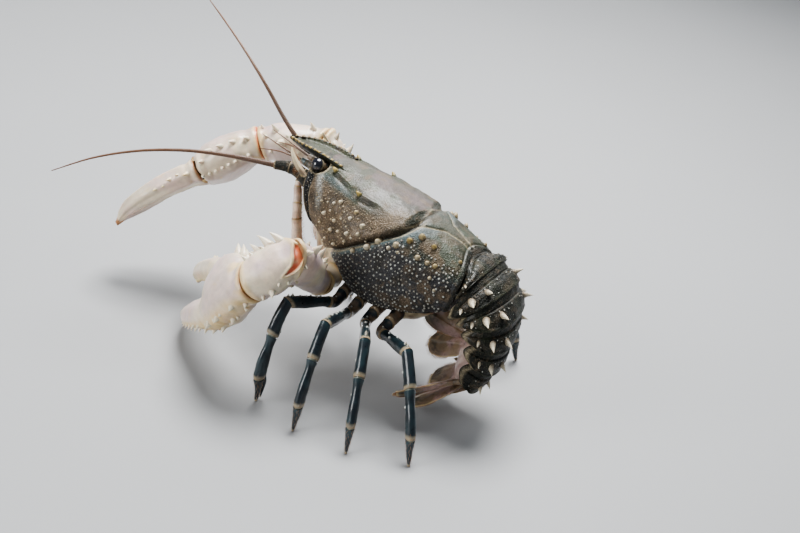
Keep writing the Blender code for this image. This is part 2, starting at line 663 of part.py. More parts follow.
def somite_half_ring(index, t, count=9):
    """Half of a somite's section as (y, depth below the back): arched back, side plate, inner side and belly.

    The first one starts with the arch of the carapace's hind edge.
    """
    _, _, half, depth, _ = SOMITES[index]
    half = half * (1.0 + 0.035 * math.sin(math.pi * min(t / 0.9, 1.0)))
    depth = depth * (0.84 + 0.16 * math.sin(math.pi * min(t * 1.1, 1.0)))
    a = np.linspace(0.0, math.pi / 2, count)
    arch = np.column_stack([half * np.sin(a) ** 0.9, 0.62 * depth * (1 - np.cos(a) ** 0.9)])
    arch[:, 1] -= 0.0004 * math.sin(math.pi * t)
    belly = min(depth * 0.72, BELLY_DEPTH)
    if index == 0:
        tucked = max(1.0 - 2.0 * t, 0.0)
        u = math.radians(9.0) * np.arange(count)
        top, edge_half, widest, _, _ = carapace_section(0.0)
        down = (top - widest) * (1 - np.cos(u) ** SHELL_POWER)
        arch += (np.column_stack([edge_half * np.sin(u) ** SHELL_POWER, down]) - arch) * tucked
        depth += FIRST_PLATE_DEPTH * tucked
        belly += FIRST_BELLY_DEPTH * tucked
    plate = [[0.985 * half, 0.84 * depth], [0.90 * half, depth], [0.80 * half, 0.86 * depth],
             [0.66 * half, belly]]
    return np.vstack([arch, plate])


def somite(index):
    rings = []
    for t in (0.0, 0.2, 0.5, 0.85, 1.0):
        ring = somite_half_ring(index, t)
        ring = np.vstack([ring, (ring[1:] * np.array([-1.0, 1.0]))[::-1]])
        rings.append(somite_point(index, np.full(len(ring), t), ring[:, 0], ring[:, 1]))
    body = loft("somite", world(np.array(rings)), strips=True)
    _, _, half, depth, _ = SOMITES[index]
    extra = []
    for side in (1, -1):
        for share, down, size in SOMITE_SPINES[index]:
            a = share * math.pi / 2
            place = np.array([half * 1.02 * math.sin(a) ** 0.9, 0.62 * depth * (1 - math.cos(a) ** 0.9)])
            outwards = place + np.array([math.sin(a), -math.cos(a)]) * 0.001
            at, out = (somite_point(index, down, side * y, d) for y, d in (place, outwards))
            direction = unit(out - at) + abdomen_line()[1][index][0] * 0.15
            extra.append(cone(world(at), world_direction(direction), size, size * 0.52, 6))
    root = world(abdomen_line()[0][index])
    return finish_node(body, f"abdomen_{index + 1}", "shell", root, extra)


# Spines of each somite: share of the arch from the back to the side, place along the somite, length
SOMITE_SPINES = (
    ((0.80, 0.55, 0.0020),),
    ((0.42, 0.58, 0.0040), (0.74, 0.55, 0.0052), (0.98, 0.55, 0.0030)),
    ((0.40, 0.58, 0.0042), (0.72, 0.55, 0.0048), (0.98, 0.55, 0.0028)),
    ((0.40, 0.58, 0.0040), (0.72, 0.55, 0.0044), (0.98, 0.55, 0.0026)),
    ((0.38, 0.58, 0.0036), (0.70, 0.55, 0.0040), (0.96, 0.55, 0.0024)),
    ((0.36, 0.58, 0.0032), (0.66, 0.60, 0.0034)),
)


def blade(name, root, direction, flat, length, half_width, outline, thick, cup):
    """A plate of the tail fan: `flat` is the way across it, and cup bends its sides towards the belly."""
    direction = unit(direction)
    flat = unit(flat - direction * (flat @ direction))
    face = np.cross(flat, direction)
    rings = []
    for s in (0.0, 0.12, 0.35, 0.6, 0.82, 0.95, 1.0):
        w = half_width * float(curve(s, outline))
        h = thick * (1.0 - 0.45 * s)
        ring = []
        for a in np.arange(12) * math.pi / 6:
            y = w * math.cos(a)
            bend = cup * (y / half_width) ** 2
            ring.append(root + direction * (length * s) + flat * y + face * (bend + h * math.sin(a)))
        rings.append(ring)
    return loft(name, world(np.array(rings)))


# Outlines as (share of the length, share of the half width), and the two fins of each side:
# name, root outwards, inwards and along, shares of its way outwards and inwards, degrees cupped, length, half
# width. Each fin hangs on a stalk: where it starts on the last ring's rear face, outwards and inwards.
TELSON_OUTLINE = ((0.0, 0.90), (0.3, 1.0), (0.6, 0.97), (0.85, 0.86), (0.95, 0.64), (1.0, 0.34))
FIN_OUTLINE = ((0.0, 0.34), (0.2, 0.70), (0.5, 1.0), (0.8, 0.98), (0.94, 0.72), (1.0, 0.38))
FINS = (
    ("inner", 0.0108, 0.0070, 0.0040, 0.28, 0.10, 14.0, 0.0255, 0.0066),
    ("outer", 0.0140, 0.0118, 0.0062, 0.46, 0.42, 52.0, 0.0245, 0.0064),
)
STALK_STARTS = {"inner": (0.0092, 0.0062), "outer": (0.0138, 0.0096)}
STALK_HALVES = ((0.0020, 0.0013), (0.0020, 0.0013), (0.0018, 0.0011), (0.0014, 0.0006))
STALK_INSIDE = 0.0030


def tail_frame():
    points, ways, rolls = abdomen_line()
    along, inward = ways[6]
    c, s = math.cos(rolls[6]), math.sin(rolls[6])
    side = np.array([0.0, c, 0.0]) - inward * s
    return points[6], along, inward * c + np.array([0.0, s, 0.0]), side


def tail_fan():
    base, along, inward, side_way = tail_frame()
    joint = unit(abdomen_line()[1][5][0] + along)
    root = base + inward * 0.0026 + along * 0.0016
    plate = blade("telson", root, along, side_way, TELSON_LENGTH - 0.0016, 0.0098, TELSON_OUTLINE, 0.0012,
                  0.0016)
    spikes = []
    for side in (1, -1):
        at = root + along * (TELSON_LENGTH * 0.50) + side_way * side * 0.0090 + inward * 0.0012
        spikes.append(cone(world(at), world_direction(along + side_way * side * 0.8), 0.0024, 0.0010, 5))
    finish_node(plate, "telson", "fan", world(base), spikes, [floor_block()])
    for side, word in ((1, "left"), (-1, "right")):
        for kind, out, deep, along_at, outwards, inwards, cup_turn, length, half in FINS:
            c = math.radians(cup_turn)
            rest = math.sqrt(1 - outwards**2 - inwards**2)
            direction = along * rest + side_way * side * outwards + inward * inwards
            flat = side_way * side * math.cos(c) + inward * math.sin(c)
            root = base + side_way * side * out + inward * deep + along * along_at
            fin = blade("fin", root, direction, flat * side, length, half, FIN_OUTLINE, 0.0010, 0.0008)
            out, deep = STALK_STARTS[kind]
            start = base + side_way * side * out + inward * deep
            start = start + along * (((base - start) @ joint) / (along @ joint))
            path = [start, (start + root) / 2, root, root + direction * STALK_INSIDE]
            stalk = Tube([world(p) for p in path], STALK_HALVES, world_direction(flat),
                         start=world_direction(joint), start_gap=GAP, end_gap=0.0)
            finish_node(fin, f"uropod_{word}_{kind}", "fan", world(root), [stalk.solid("stalk", 7, 10)],
                        [floor_block()])


# Claw arms

def arm(word, side):
    """Ischium, merus, carpus, palm with its fixed finger, and the finger that moves in life."""
    coxa, base, elbow, wrist, tip = (world(p) for p in ARMS[word])
    thumb = world_direction(THUMB_SIDES[word])
    upper, fore, hand = unit(elbow - base), unit(wrist - elbow), unit(tip - wrist)
    outward = np.array([0.0, float(side), 0.0])
    bend_plane = unit(np.cross(upper, fore))
    in_bend = unit(np.cross(bend_plane, upper))

    ischium = Tube([coxa, (coxa + base) / 2 + np.array([0.0, 0.0, -0.0010]), base],
                   [(0.0058, 0.0052), (0.0060, 0.0052), (0.0056, 0.0050)], (1, 0, 0),
                   start=outward, end=unit(unit(base - coxa) + upper), start_gap=GAP)
    finish_node(ischium.solid("ischium", 5, 12), f"claw_{word}_ischium", "ivory", coxa)

    length = np.linalg.norm(elbow - base)
    merus = Tube([base, base + upper * length * 0.35, base + upper * length * 0.72, elbow], MERUS_HALVES,
                 in_bend,
                 start=unit(unit(base - coxa) + upper), end=unit(upper + fore))
    finish_node(merus.solid("merus", 8, 14), f"claw_{word}_merus", "ivory", base,
                merus.spines(MERUS_SPINES, 0.45))

    length = np.linalg.norm(wrist - elbow)
    carpus = Tube([elbow, elbow + fore * length * 0.4, elbow + fore * length * 0.75, wrist], CARPUS_HALVES,
                  thumb,
                  start=unit(upper + fore), end=unit(fore + hand))
    spikes = carpus.spines(CARPUS_SPINES[word], 0.15)
    finish_node(carpus.solid("carpus", 8, 14), f"claw_{word}_carpus", "ivory", elbow, spikes)

    hand_frame = (wrist, hand, unit(thumb - hand * (thumb @ hand)))
    palm(word, side, hand_frame, np.linalg.norm(tip - wrist), unit(fore + hand))
    finger(word, side, hand_frame, np.linalg.norm(tip - wrist))


def hand_point(frame, along, across, up=0.0):
    wrist, hand, thumb = frame
    return wrist + hand * along + thumb * across + np.cross(hand, thumb) * up


def hand_line(frame, line, start, length, side, turn=0.0):
    """World points of a middle line on the hand: its shares run over a length from start, opened by turn."""
    ventral = 1.0 if side > 0 else -1.0
    return [hand_point(frame, start + a * length, c + a * length * turn, u * ventral) for a, c, u in line]


def palm(word, side, frame, length, wrist_plane):
    """The palm is a flattened tube, and its fixed finger a tapered horn on the side away from the thumb."""
    thumb = frame[2]
    middle = hand_line(frame, PALM_LINE, 0.0, PALM_LENGTH, side)
    hull = Tube(middle, PALM_HALVES, thumb, start=wrist_plane, end=frame[1], end_gap=0.0)
    horn = Tube(hand_line(frame, HORN_LINE, 0.0, length, side), HORN_HALVES, thumb, start_gap=0.0,
                end_gap=0.0)
    teeth = hull.spines(OUTER_SPINES, 0.35) + hull.spines(INNER_SPINES[word], 0.15)
    extra = [horn.solid("horn", 8, 12), *teeth, *horn.spines(HORN_SPINES, 0.35)]
    finish_node(hull.solid("palm", 9, 16), f"claw_{word}_palm", "ivory", frame[0], extra, [floor_block()])


def finger(word, side, frame, length):
    start = PALM_LENGTH + GAP
    path = hand_line(frame, FINGER_LINE, start, length - start, side, math.tan(FINGER_OPEN[word]))
    horn = Tube(path, FINGER_HALVES, frame[2], start=frame[1], start_gap=GAP / 2, end_gap=0.0)
    teeth = horn.spines(FINGER_SPINES, 0.4)
    finish_node(horn.solid("finger", 9, 12), f"claw_{word}_finger", "ivory", path[0], teeth, [floor_block()])


# Walking legs

def knee_of(root, foot, upper, lower):
    """Where two lengths from root and foot meet, above the line between them."""
    line = foot - root
    reach = np.linalg.norm(line)
    along = (upper**2 - lower**2 + reach**2) / (2 * reach)
    height = math.sqrt(max(upper**2 - along**2, 0.0))
    way = line / reach
    up = unit(np.array([0.0, 0.0, 1.0]) - way * way[2])
    return root + way * along + up * height


def leg(word, side, index):
    x = LEG_ROOT_X[index]
    place = FEET[word][index]
    coxa = world((x, 0.0124 * side, -0.0012))
    hip = world((x + 0.0006, 0.0225 * side, -0.0075))
    foot = np.array([place[0] + BODY_AT[0], place[1] * side + BODY_AT[1], 0.0])
    knee = knee_of(hip, foot, LEG_UPPER, LEG_LOWER)
    rise, fall = unit(knee - hip), unit(foot - knee)
    swing = unit(np.cross(rise, fall))
    joint = unit(rise + fall)
    size = np.array([LEG_HALF_HEIGHT, LEG_HALF_THICK])
    path = [coxa, (coxa + hip) / 2, hip, hip + (knee - hip) * 0.22, hip + (knee - hip) * 0.62, knee]
    upper = Tube(path, np.array(UPPER_SECTIONS) * size, np.array([0.0, 0.0, 1.0]),
                 start=np.array([0.0, float(side), 0.0]), end=joint, start_gap=GAP)
    spikes = upper.spines(((0.70, 0, 0.0010), (0.90, 0, 0.0014)), 0.3, 4, LEG_SPINE_WIDTH, 0.0)
    finish_node(upper.solid("upper", 9, 7), f"leg_{word}_{index + 2}_upper", "leg", coxa, spikes)

    drop = foot - knee
    out = unit(np.array([drop[0], drop[1], 0.0]))
    bow = out * 0.0030
    sections = np.array(LOWER_SECTIONS) * size
    if index < 2:
        sections[4:6, 0] *= PINCER_SWELL
    path = [knee, knee + drop * 0.14 + bow * 0.7, knee + drop * 0.30 + bow, knee + drop * 0.36 + bow,
            knee + drop * 0.60 + bow * 1.1, knee + drop * 0.76 + bow * 0.8, knee + drop * 0.86 + bow * 0.4,
            foot]
    lower = Tube(path, sections, -unit(np.cross(swing, fall)), start=joint, end=np.array([0.0, 0.0, -1.0]),
                 end_gap=0.0)
    extra = lower.spines(((0.22, 180, 0.0012), (0.55, 180, 0.0009)), 0.3, 4, LEG_SPINE_WIDTH, 0.0)
    if index < 2:
        path = [knee + drop * 0.66 + bow * 0.9, knee + drop * 0.80 + bow * 0.6 - out * 0.0030,
                foot - out * 0.0022 + np.array([0.0, 0.0, 0.0014])]
        extra.append(Tube(path, PINCER_SECTIONS, out, start_gap=0.0, end_gap=0.0).solid("second", 4, 6))
    finish_node(lower.solid("lower", 13, 7), f"leg_{word}_{index + 2}_lower", "leg", knee, extra)


# Head

def head_piece(name, material, path, halves, wide, rings, sides, start=None, extra=()):
    points = [world(p) for p in path]
    tube = Tube(points, halves, world_direction(wide), start=start, start_gap=GAP, end_gap=0.0)
    return finish_node(tube.solid(name, rings, sides), name, material, points[0], extra)


def side_set(path, side):
    return [np.asarray(p, float) * np.array([1, side, 1]) for p in path]


def on_face(y, z):
    return (float(face_x(z)), y, z)


def eye(word, side):
    """A globe on a short stalk that stands in its socket."""
    out = unit(np.array([0.0021, side * 0.0030, 0.0003]))
    socket = EYE_AT * np.array([1, side, 1])
    at = socket + out * 0.0012
    path = [world(socket - out * (SOCKET_RADIUS - 0.0005)), world(socket - out * 0.001), world(at)]
    stalk = Tube(path, [(0.0014, 0.0014), (0.0018, 0.0018), (0.0022, 0.0022)], (0, 0, 1), start_gap=0.0,
                 end_gap=0.0)
    globe = ball(world(at), EYE_RADIUS, 12, 8)
    finish_node(globe, f"eye_{word}", "eye", world(at), [stalk.solid("stalk", 4, 10)])


def antennule(word, side):
    """The small feeler: a stem and its two short whips."""
    whips = []
    for spread, rise, reach in ((0.0010, 0.0014, 0.0215), (0.0034, -0.0042, 0.0190)):
        whip = side_set([(0.0930, 0.0033, 0.0322),
                         (0.0945 + reach * 0.5, 0.0034 + spread * 0.5, 0.0326 + rise * 0.3),
                         (0.0945 + reach, 0.0034 + spread, 0.0322 + rise)], side)
        halves = [(0.0006, 0.0006), (0.0004, 0.0004), (0.0002, 0.0002)]
        tube = Tube([world(p) for p in whip], halves, (0, 0, 1), start_gap=0.0, end_gap=0.0)
        whips.append(tube.solid("whip", 6, 5))
    path = side_set([on_face(0.0030, 0.0318), (0.0900, 0.0030, 0.0320), (0.0945, 0.0032, 0.0322)], side)
    halves = [(0.0018, 0.0016), (0.0017, 0.0015), (0.0013, 0.0012)]
    head_piece(f"antennule_{word}", "feeler", path, halves, (0, 0, 1), 4, 8, start=face_normal(0.0318),
               extra=whips)


def antenna(word, side):
    """The stem of the long feeler, its leaf-like scale, and its whip in two lengths."""
    stem = side_set([on_face(*STEM_FOOT), *STEM], side)
    halves = [(0.0030, 0.0030), (0.0030, 0.0029), (0.0026, 0.0026), (0.0019, 0.0019)]
    head_piece(f"antenna_base_{word}", "shell", stem, halves, (0, 0, 1), 8, 10,
               start=face_normal(STEM_FOOT[1]))
    leaf = side_set([on_face(0.0138, 0.0322), (0.0895, 0.0148, 0.0348), (0.0935, 0.0146, 0.0378),
                     (0.0965, 0.0134, 0.0405)], side)
    halves = [(0.0016, 0.0009), (0.0021, 0.0009), (0.0017, 0.0008), (0.0004, 0.0003)]
    across = (0, side * 0.7, -0.5)
    head_piece(f"antenna_scale_{word}", "mouth", leaf, halves, across, 7, 10, start=face_normal(0.0322))
    sweep = [world(p) for p in (stem[-1], *WHIPS[word])]
    whole = Tube(sweep, WHIP_HALVES, (0, 0, 1), start=world(stem[-1]) - world(stem[-2]), start_gap=GAP,
                 end_gap=0.0)
    for part, (t0, t1) in enumerate(((0.0, 0.45), (0.45, 1.0))):
        t, angle = np.meshgrid(np.linspace(t0, t1, 11), np.arange(5) * 2 * math.pi / 5, indexing="ij")
        rings = whole.at(t.ravel(), angle.ravel()).reshape(11, 5, 3)
        if part:
            rings[0] += unit(rings[1].mean(0) - rings[0].mean(0)) * GAP
        finish_node(loft("whip", rings), f"antenna_{word}_{part + 1}", "feeler", rings[0].mean(0))


def mouth_leg(word, side):
    """The outermost mouth leg, folded up in front of the mouth."""
    head_piece(f"mouth_leg_{word}", "mouth", side_set(MOUTH_LEG, side), MOUTH_LEG_HALVES, (0, 1, 0), 14, 8)


# The scene

for stale in list(bpy.data.objects):
    bpy.data.objects.remove(stale)
parts = bpy.data.collections.new("murray_crayfish")
bpy.context.scene.collection.children.link(parts)
animal = bpy.data.objects.new("animal", None)
parts.objects.link(animal)

materials = {}
for slot, (colour, roughness) in COLOURS.items():
    material = bpy.data.materials.new(slot)
    material.use_nodes = True
    shader = material.node_tree.nodes["Principled BSDF"]
    shader.inputs["Base Color"].default_value = colour
    shader.inputs["Roughness"].default_value = roughness
    materials[slot] = material

carapace()
thorax_underside()
for number in range(len(SOMITES)):
    somite(number)
tail_fan()
for sign, hand_side in ((1, "left"), (-1, "right")):
    arm(hand_side, sign)
    for number in range(4):
        leg(hand_side, sign, number)
    eye(hand_side, sign)
    antennule(hand_side, sign)
    antenna(hand_side, sign)
    mouth_leg(hand_side, sign)
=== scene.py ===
"""Dresses a life-size Murray crayfish in fine shell, spines, granules, membranes and bristles.

Laid out as an add-on: each operator makes one kind of piece over the frame's solids. Metres, +Z up, +X
towards the head. Points in the body frame have x forward from the carapace's hind edge, y left and z up.
"""

import math

import bmesh
import bpy
import numpy as np
from bpy.props import FloatProperty, FloatVectorProperty, PointerProperty
from mathutils import Matrix, Vector

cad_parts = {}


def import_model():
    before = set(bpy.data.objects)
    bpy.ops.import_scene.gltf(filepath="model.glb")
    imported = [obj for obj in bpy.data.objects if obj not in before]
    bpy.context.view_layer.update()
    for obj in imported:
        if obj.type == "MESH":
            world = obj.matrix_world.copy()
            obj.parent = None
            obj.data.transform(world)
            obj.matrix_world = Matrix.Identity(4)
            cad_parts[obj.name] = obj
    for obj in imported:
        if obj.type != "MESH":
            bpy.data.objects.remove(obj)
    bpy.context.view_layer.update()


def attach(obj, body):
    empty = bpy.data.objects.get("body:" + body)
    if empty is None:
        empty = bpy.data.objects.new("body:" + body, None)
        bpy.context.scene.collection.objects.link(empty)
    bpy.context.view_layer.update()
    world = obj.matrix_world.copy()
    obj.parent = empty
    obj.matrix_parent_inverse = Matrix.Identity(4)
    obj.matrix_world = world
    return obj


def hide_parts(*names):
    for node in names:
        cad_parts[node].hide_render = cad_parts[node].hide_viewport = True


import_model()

bl_info = {
    "name": "Murray Crayfish",
    "version": (1, 0, 0),
    "blender": (4, 5, 0),
    "location": "3D View > Sidebar > Crayfish",
    "description": "Makes the fine surfaces of a spiny freshwater crayfish over its solid frame",
    "category": "Add Mesh",
}

# Driving sizes of the body, the same as the solids'
CARAPACE = 0.085
PITCH = math.radians(12.0)
BODY_AT = np.array([-0.0721, -0.0001, 0.0352])
TOP = ((0.00, 0.0376), (0.18, 0.0402), (0.45, 0.0436), (0.70, 0.0434), (0.88, 0.0420), (1.00, 0.0404))
HALF_WIDTH = ((0.00, 0.0205), (0.14, 0.0242), (0.42, 0.0266), (0.65, 0.0246), (0.84, 0.0200), (1.00, 0.0150))
WIDEST_Z = ((0.00, 0.0200), (0.42, 0.0190), (0.70, 0.0205), (1.00, 0.0250))
MARGIN_Z = ((0.00, 0.0160), (0.14, 0.0090), (0.36, 0.0016), (0.53, 0.0014), (0.68, 0.0062), (0.80, 0.0098),
            (1.00, 0.0130))
MARGIN_Y = ((0.00, 0.0172), (0.14, 0.0200), (0.42, 0.0215), (0.65, 0.0190), (0.84, 0.0150), (1.00, 0.0105))
FRONT_X = 0.0862
FRONT_FALL = 0.0125
FRONT_DEPTH = 0.0305
REAR_NOTCH = 0.0078
REAR_NOTCH_HALF = 0.0135
SHELL_RIM = 0.0026
UNDER_RECESS = 0.0042
SHELL_POWER = 2 / 2.25
BACK_SHARE = 0.68  # of a section's way from the mid line to the margin
GROOVE = ((0.006, 0.0710), (0.010, 0.0660), (0.0176, 0.0550), (0.029, 0.0420), (0.039, 0.0315),
          (0.045, 0.0280))
ROSTRUM_START = np.array([0.0640, 0.0, 0.0396])
ROSTRUM_TIP = np.array([0.1045, 0.0, 0.0376])
ROSTRUM_HALF = ((0.0, 0.0060), (0.3, 0.0076), (0.55, 0.0072), (0.8, 0.0052), (0.94, 0.0020), (1.0, 0.0006))
ROSTRUM_THICK = ((0.0, 0.0018), (0.3, 0.0036), (0.55, 0.0034), (0.8, 0.0025), (1.0, 0.0010))
ROSTRUM_RISE = ((0.0, -0.0006), (0.30, 0.0015), (0.6, 0.0018), (1.0, 0.0))

# Abdomen: dorsal length, degrees below level, half width, depth, roll at its front
SOMITES = (
    (0.0118, 8.0, 0.0205, 0.0125, 0.0),
    (0.0116, 20.0, 0.0222, 0.0215, 0.0),
    (0.0125, 48.0, 0.0220, 0.0205, 2.0),
    (0.0115, 76.0, 0.0212, 0.0200, 7.0),
    (0.0110, 95.0, 0.0200, 0.0190, 14.0),
    (0.0120, 112.0, 0.0182, 0.0170, 21.0),
)
# Spines of each ring's side: share of the way down its back, place along it, length
SOMITE_SPINES = (
    ((0.80, 0.55, 0.0020),),
    ((0.42, 0.58, 0.0040), (0.74, 0.55, 0.0052), (0.98, 0.55, 0.0030)),
    ((0.40, 0.58, 0.0042), (0.72, 0.55, 0.0048), (0.98, 0.55, 0.0028)),
    ((0.40, 0.58, 0.0040), (0.72, 0.55, 0.0044), (0.98, 0.55, 0.0026)),
    ((0.38, 0.58, 0.0036), (0.70, 0.55, 0.0040), (0.96, 0.55, 0.0024)),
    ((0.36, 0.58, 0.0032), (0.66, 0.60, 0.0034)),
)
TELSON_LENGTH = 0.0270
TELSON_DIRECTION = 134.0
TELSON_INSIDE = 0.0016
TAIL_ROLL = 27.0
TELSON_OUTLINE = ((0.0, 0.90), (0.3, 1.0), (0.6, 0.97), (0.85, 0.86), (0.95, 0.64), (1.0, 0.34))
FIN_OUTLINE = ((0.0, 0.34), (0.2, 0.70), (0.5, 1.0), (0.8, 0.98), (0.94, 0.72), (1.0, 0.38))
# Fins: kind, root outwards, inwards and back, way outwards and inwards, turn, length, half width
FINS = (
    ("inner", 0.0108, 0.0070, 0.0040, 0.28, 0.10, 14.0, 0.0255, 0.0066),
    ("outer", 0.0140, 0.0118, 0.0062, 0.46, 0.42, 52.0, 0.0245, 0.0064),
)
# Where each fin's stalk starts, outwards and inwards
STALK_STARTS = {"inner": (0.0092, 0.0062), "outer": (0.0138, 0.0096)}
STALK_HALVES = ((0.0020, 0.0013), (0.0020, 0.0013), (0.0018, 0.0011), (0.0014, 0.0006))
STALK_INSIDE = 0.0030

# Claw arms: root, ischium joint, elbow, wrist and claw tip
ARMS = {
    "left": ((0.0580, 0.0124, -0.0030), (0.0575, 0.0220, -0.0040), (0.0625, 0.0500, 0.0163),
             (0.0706, 0.0600, 0.0025), (0.1110, 0.0249, -0.0545)),
    "right": ((0.0590, -0.0124, -0.0030), (0.0650, -0.0245, 0.0005), (0.1035, -0.0332, 0.0255),
              (0.1270, -0.0215, 0.0151), (0.1677, 0.0116, -0.0453)),
}
THUMB_SIDES = {"left": (0.3196, -0.6683, 0.6716), "right": (-0.199, 0.909, 0.364)}
FINGER_LINE = (
    (0.0, 0.0082, -0.0021), (0.21, 0.0090, -0.0035), (0.52, 0.0076, -0.0042), (0.80, 0.0050, -0.0030),
    (0.975, 0.0018, -0.0003),
)
FINGER_HALVES = ((0.0052, 0.0053), (0.0056, 0.0054), (0.0046, 0.0045), (0.0032, 0.0032), (0.0009, 0.0009))
FINGER_OPEN = {"left": math.radians(16.0), "right": math.radians(1.0)}
PALM_LENGTH = 0.0300

# Walking legs
LEG_ROOT_X = (0.0470, 0.0388, 0.0306, 0.0224)
FEET = {
    "left": ((0.0580, 0.0610), (0.0340, 0.0700), (0.0090, 0.0690), (-0.0150, 0.0590)),
    "right": ((0.0780, 0.0560), (0.0510, 0.0700), (0.0200, 0.0700), (-0.0120, 0.0590)),
}
LEG_UPPER = 0.0310
LEG_LOWER = 0.0460
LEG_HALF_HEIGHT = 0.0029
LEG_HALF_THICK = 0.0021

# Head
EYE_AT = np.array([0.0828, 0.0090, 0.0380])
EYE_RADIUS = 0.0029
SOCKET_RADIUS = 0.0043
WHIPS = {
    "left": ((0.1180, 0.0205, 0.0250), (0.1360, 0.0300, 0.0200), (0.1520, 0.0400, 0.0130),
             (0.1660, 0.0500, 0.0040), (0.1780, 0.0600, -0.0070)),
    "right": ((0.1140, -0.0120, 0.0360), (0.1300, -0.0115, 0.0470), (0.1480, -0.0150, 0.0550),
              (0.1660, -0.0220, 0.0590), (0.1830, -0.0330, 0.0590)),
}
SIDES = {"left": 1, "right": -1}


# Arithmetic on arrays of points

def unit(v):
    v = np.asarray(v, float)
    return v / np.maximum(np.linalg.norm(v, axis=-1, keepdims=True), 1e-12)


def world(points):
    """Body frame to world: turned head up about Y by PITCH, then moved to BODY_AT."""
    p = np.asarray(points, float)
    c, s = math.cos(PITCH), math.sin(PITCH)
    return np.stack([p[..., 0] * c - p[..., 2] * s, p[..., 1], p[..., 0] * s + p[..., 2] * c], -1) + BODY_AT


def world_direction(v):
    return world(v) - world(np.zeros(3))


def curve(x, knots):
    """A smooth curve through (place, value) knots: cubic pieces with the neighbours' mean slope."""
    k = np.asarray(knots, float)
    places, values = k[:, 0], k[:, 1:]
    slopes = np.gradient(values, places, axis=0)
    x = np.clip(np.asarray(x, float), places[0], places[-1])
    i = np.clip(np.searchsorted(places, x, side="right") - 1, 0, len(places) - 2)
    h = (places[i + 1] - places[i])[..., None]
    t = (x - places[i])[..., None] / h
    made = (
        values[i] * (1 + 2 * t) * (1 - t) ** 2
        + slopes[i] * h * t * (1 - t) ** 2
        + values[i + 1] * t * t * (3 - 2 * t)
        + slopes[i + 1] * h * t * t * (t - 1)
    )
    return made[..., 0] if made.shape[-1] == 1 else made


def ease(x, low, high):
    """0 below low, 1 above high, and a smooth step between them."""
    t = np.clip((np.asarray(x, float) - low) / (high - low), 0, 1)
    return t * t * (3 - 2 * t)


def bell(x, middle, half):
    return np.exp(-(((x - middle) / half) ** 2))


def scatter(cell, seed=0.0):
    """A number from 0 to 1 for each integer cell: the fraction of a large sine."""
    wave = cell @ np.array([127.1, 311.7, 74.7][:cell.shape[-1]]) + seed * 53.3
    return np.modf(np.abs(np.sin(wave)) * 43758.5453)[0]


def noise(points, size, seed=0.0):
    """Smooth noise from -1 to 1: random values on a lattice of that size, eased between its corners."""
    q = np.asarray(points, float) / size + 100.0
    base = np.floor(q)
    f = q - base
    f = f * f * (3 - 2 * f)
    total = 0.0
    for corner in np.ndindex(2, 2, 2):
        near = np.array(corner)
        total = total + scatter(base + near, seed) * np.prod(np.where(near, f, 1 - f), -1)
    return total * 2 - 1


def mixed(a, b, share):
    """Colours a and b mixed point by point."""
    a, b = np.asarray(a, float), np.asarray(b, float)
    return a + (b - a) * np.asarray(share, float)[..., None]


def grid_normals(points):
    """Unit normals of a closed form's grid: the cross product of row and column steps, turned outwards."""
    n = unit(np.cross(np.gradient(points, axis=0), np.gradient(points, axis=1)))
    outward = points - points.mean(axis=1, keepdims=True)
    return n if (n * outward).sum() > 0 else -n


def turns(count):
    """Angles of that many places round a circle."""
    return np.arange(count) * 2 * math.pi / count


def ball(rows, columns, pole, first, second):
    """A ball's grid of points round its middle from three half axes, and each row's angle from the pole."""
    polar = np.linspace(0.0, math.pi, rows)[:, None, None]
    angle = turns(columns)[None, :, None]
    level = first * np.cos(angle) + second * np.sin(angle)
    return pole * np.cos(polar) + level * np.sin(polar), polar[..., 0]


def triangles(index, closed=True):
    """Two triangles for each cell of a grid of point numbers. A closed row joins its own ends."""
    beside = np.roll(index, -1, 1) if closed else index[:, 1:]
    wide = beside.shape[1]
    a, b, c, d = index[:-1, :wide], beside[:-1], beside[1:], index[1:, :wide]
    return np.stack([np.stack([a, b, c], -1), np.stack([a, c, d], -1)]).reshape(-1, 3)


# Profiles of turned shapes, as (share of the height, share of the radius)
SPINE = ((-0.30, 0.0), (-0.30, 1.25), (0.0, 1.12), (0.10, 0.86), (0.28, 0.66), (0.52, 0.45), (0.76, 0.24),
         (0.93, 0.09), (1.0, 0.0))
THORN = ((-0.30, 0.0), (-0.30, 1.15), (0.0, 1.08), (0.14, 0.90), (0.36, 0.70), (0.60, 0.46), (0.82, 0.22),
         (0.95, 0.08), (1.0, 0.0))
GRANULE = ((-0.6, 0.0), (-0.6, 1.05), (0.30, 0.95), (0.80, 0.58), (1.0, 0.0))
KNOB = ((-0.4, 0.0), (-0.4, 1.2), (0.0, 1.12), (0.2, 0.94), (0.45, 0.78), (0.7, 0.55), (0.9, 0.28),
        (1.0, 0.0))
BRISTLE = ((-0.02, 0.0), (0.0, 1.0), (0.5, 0.75), (1.0, 0.0))


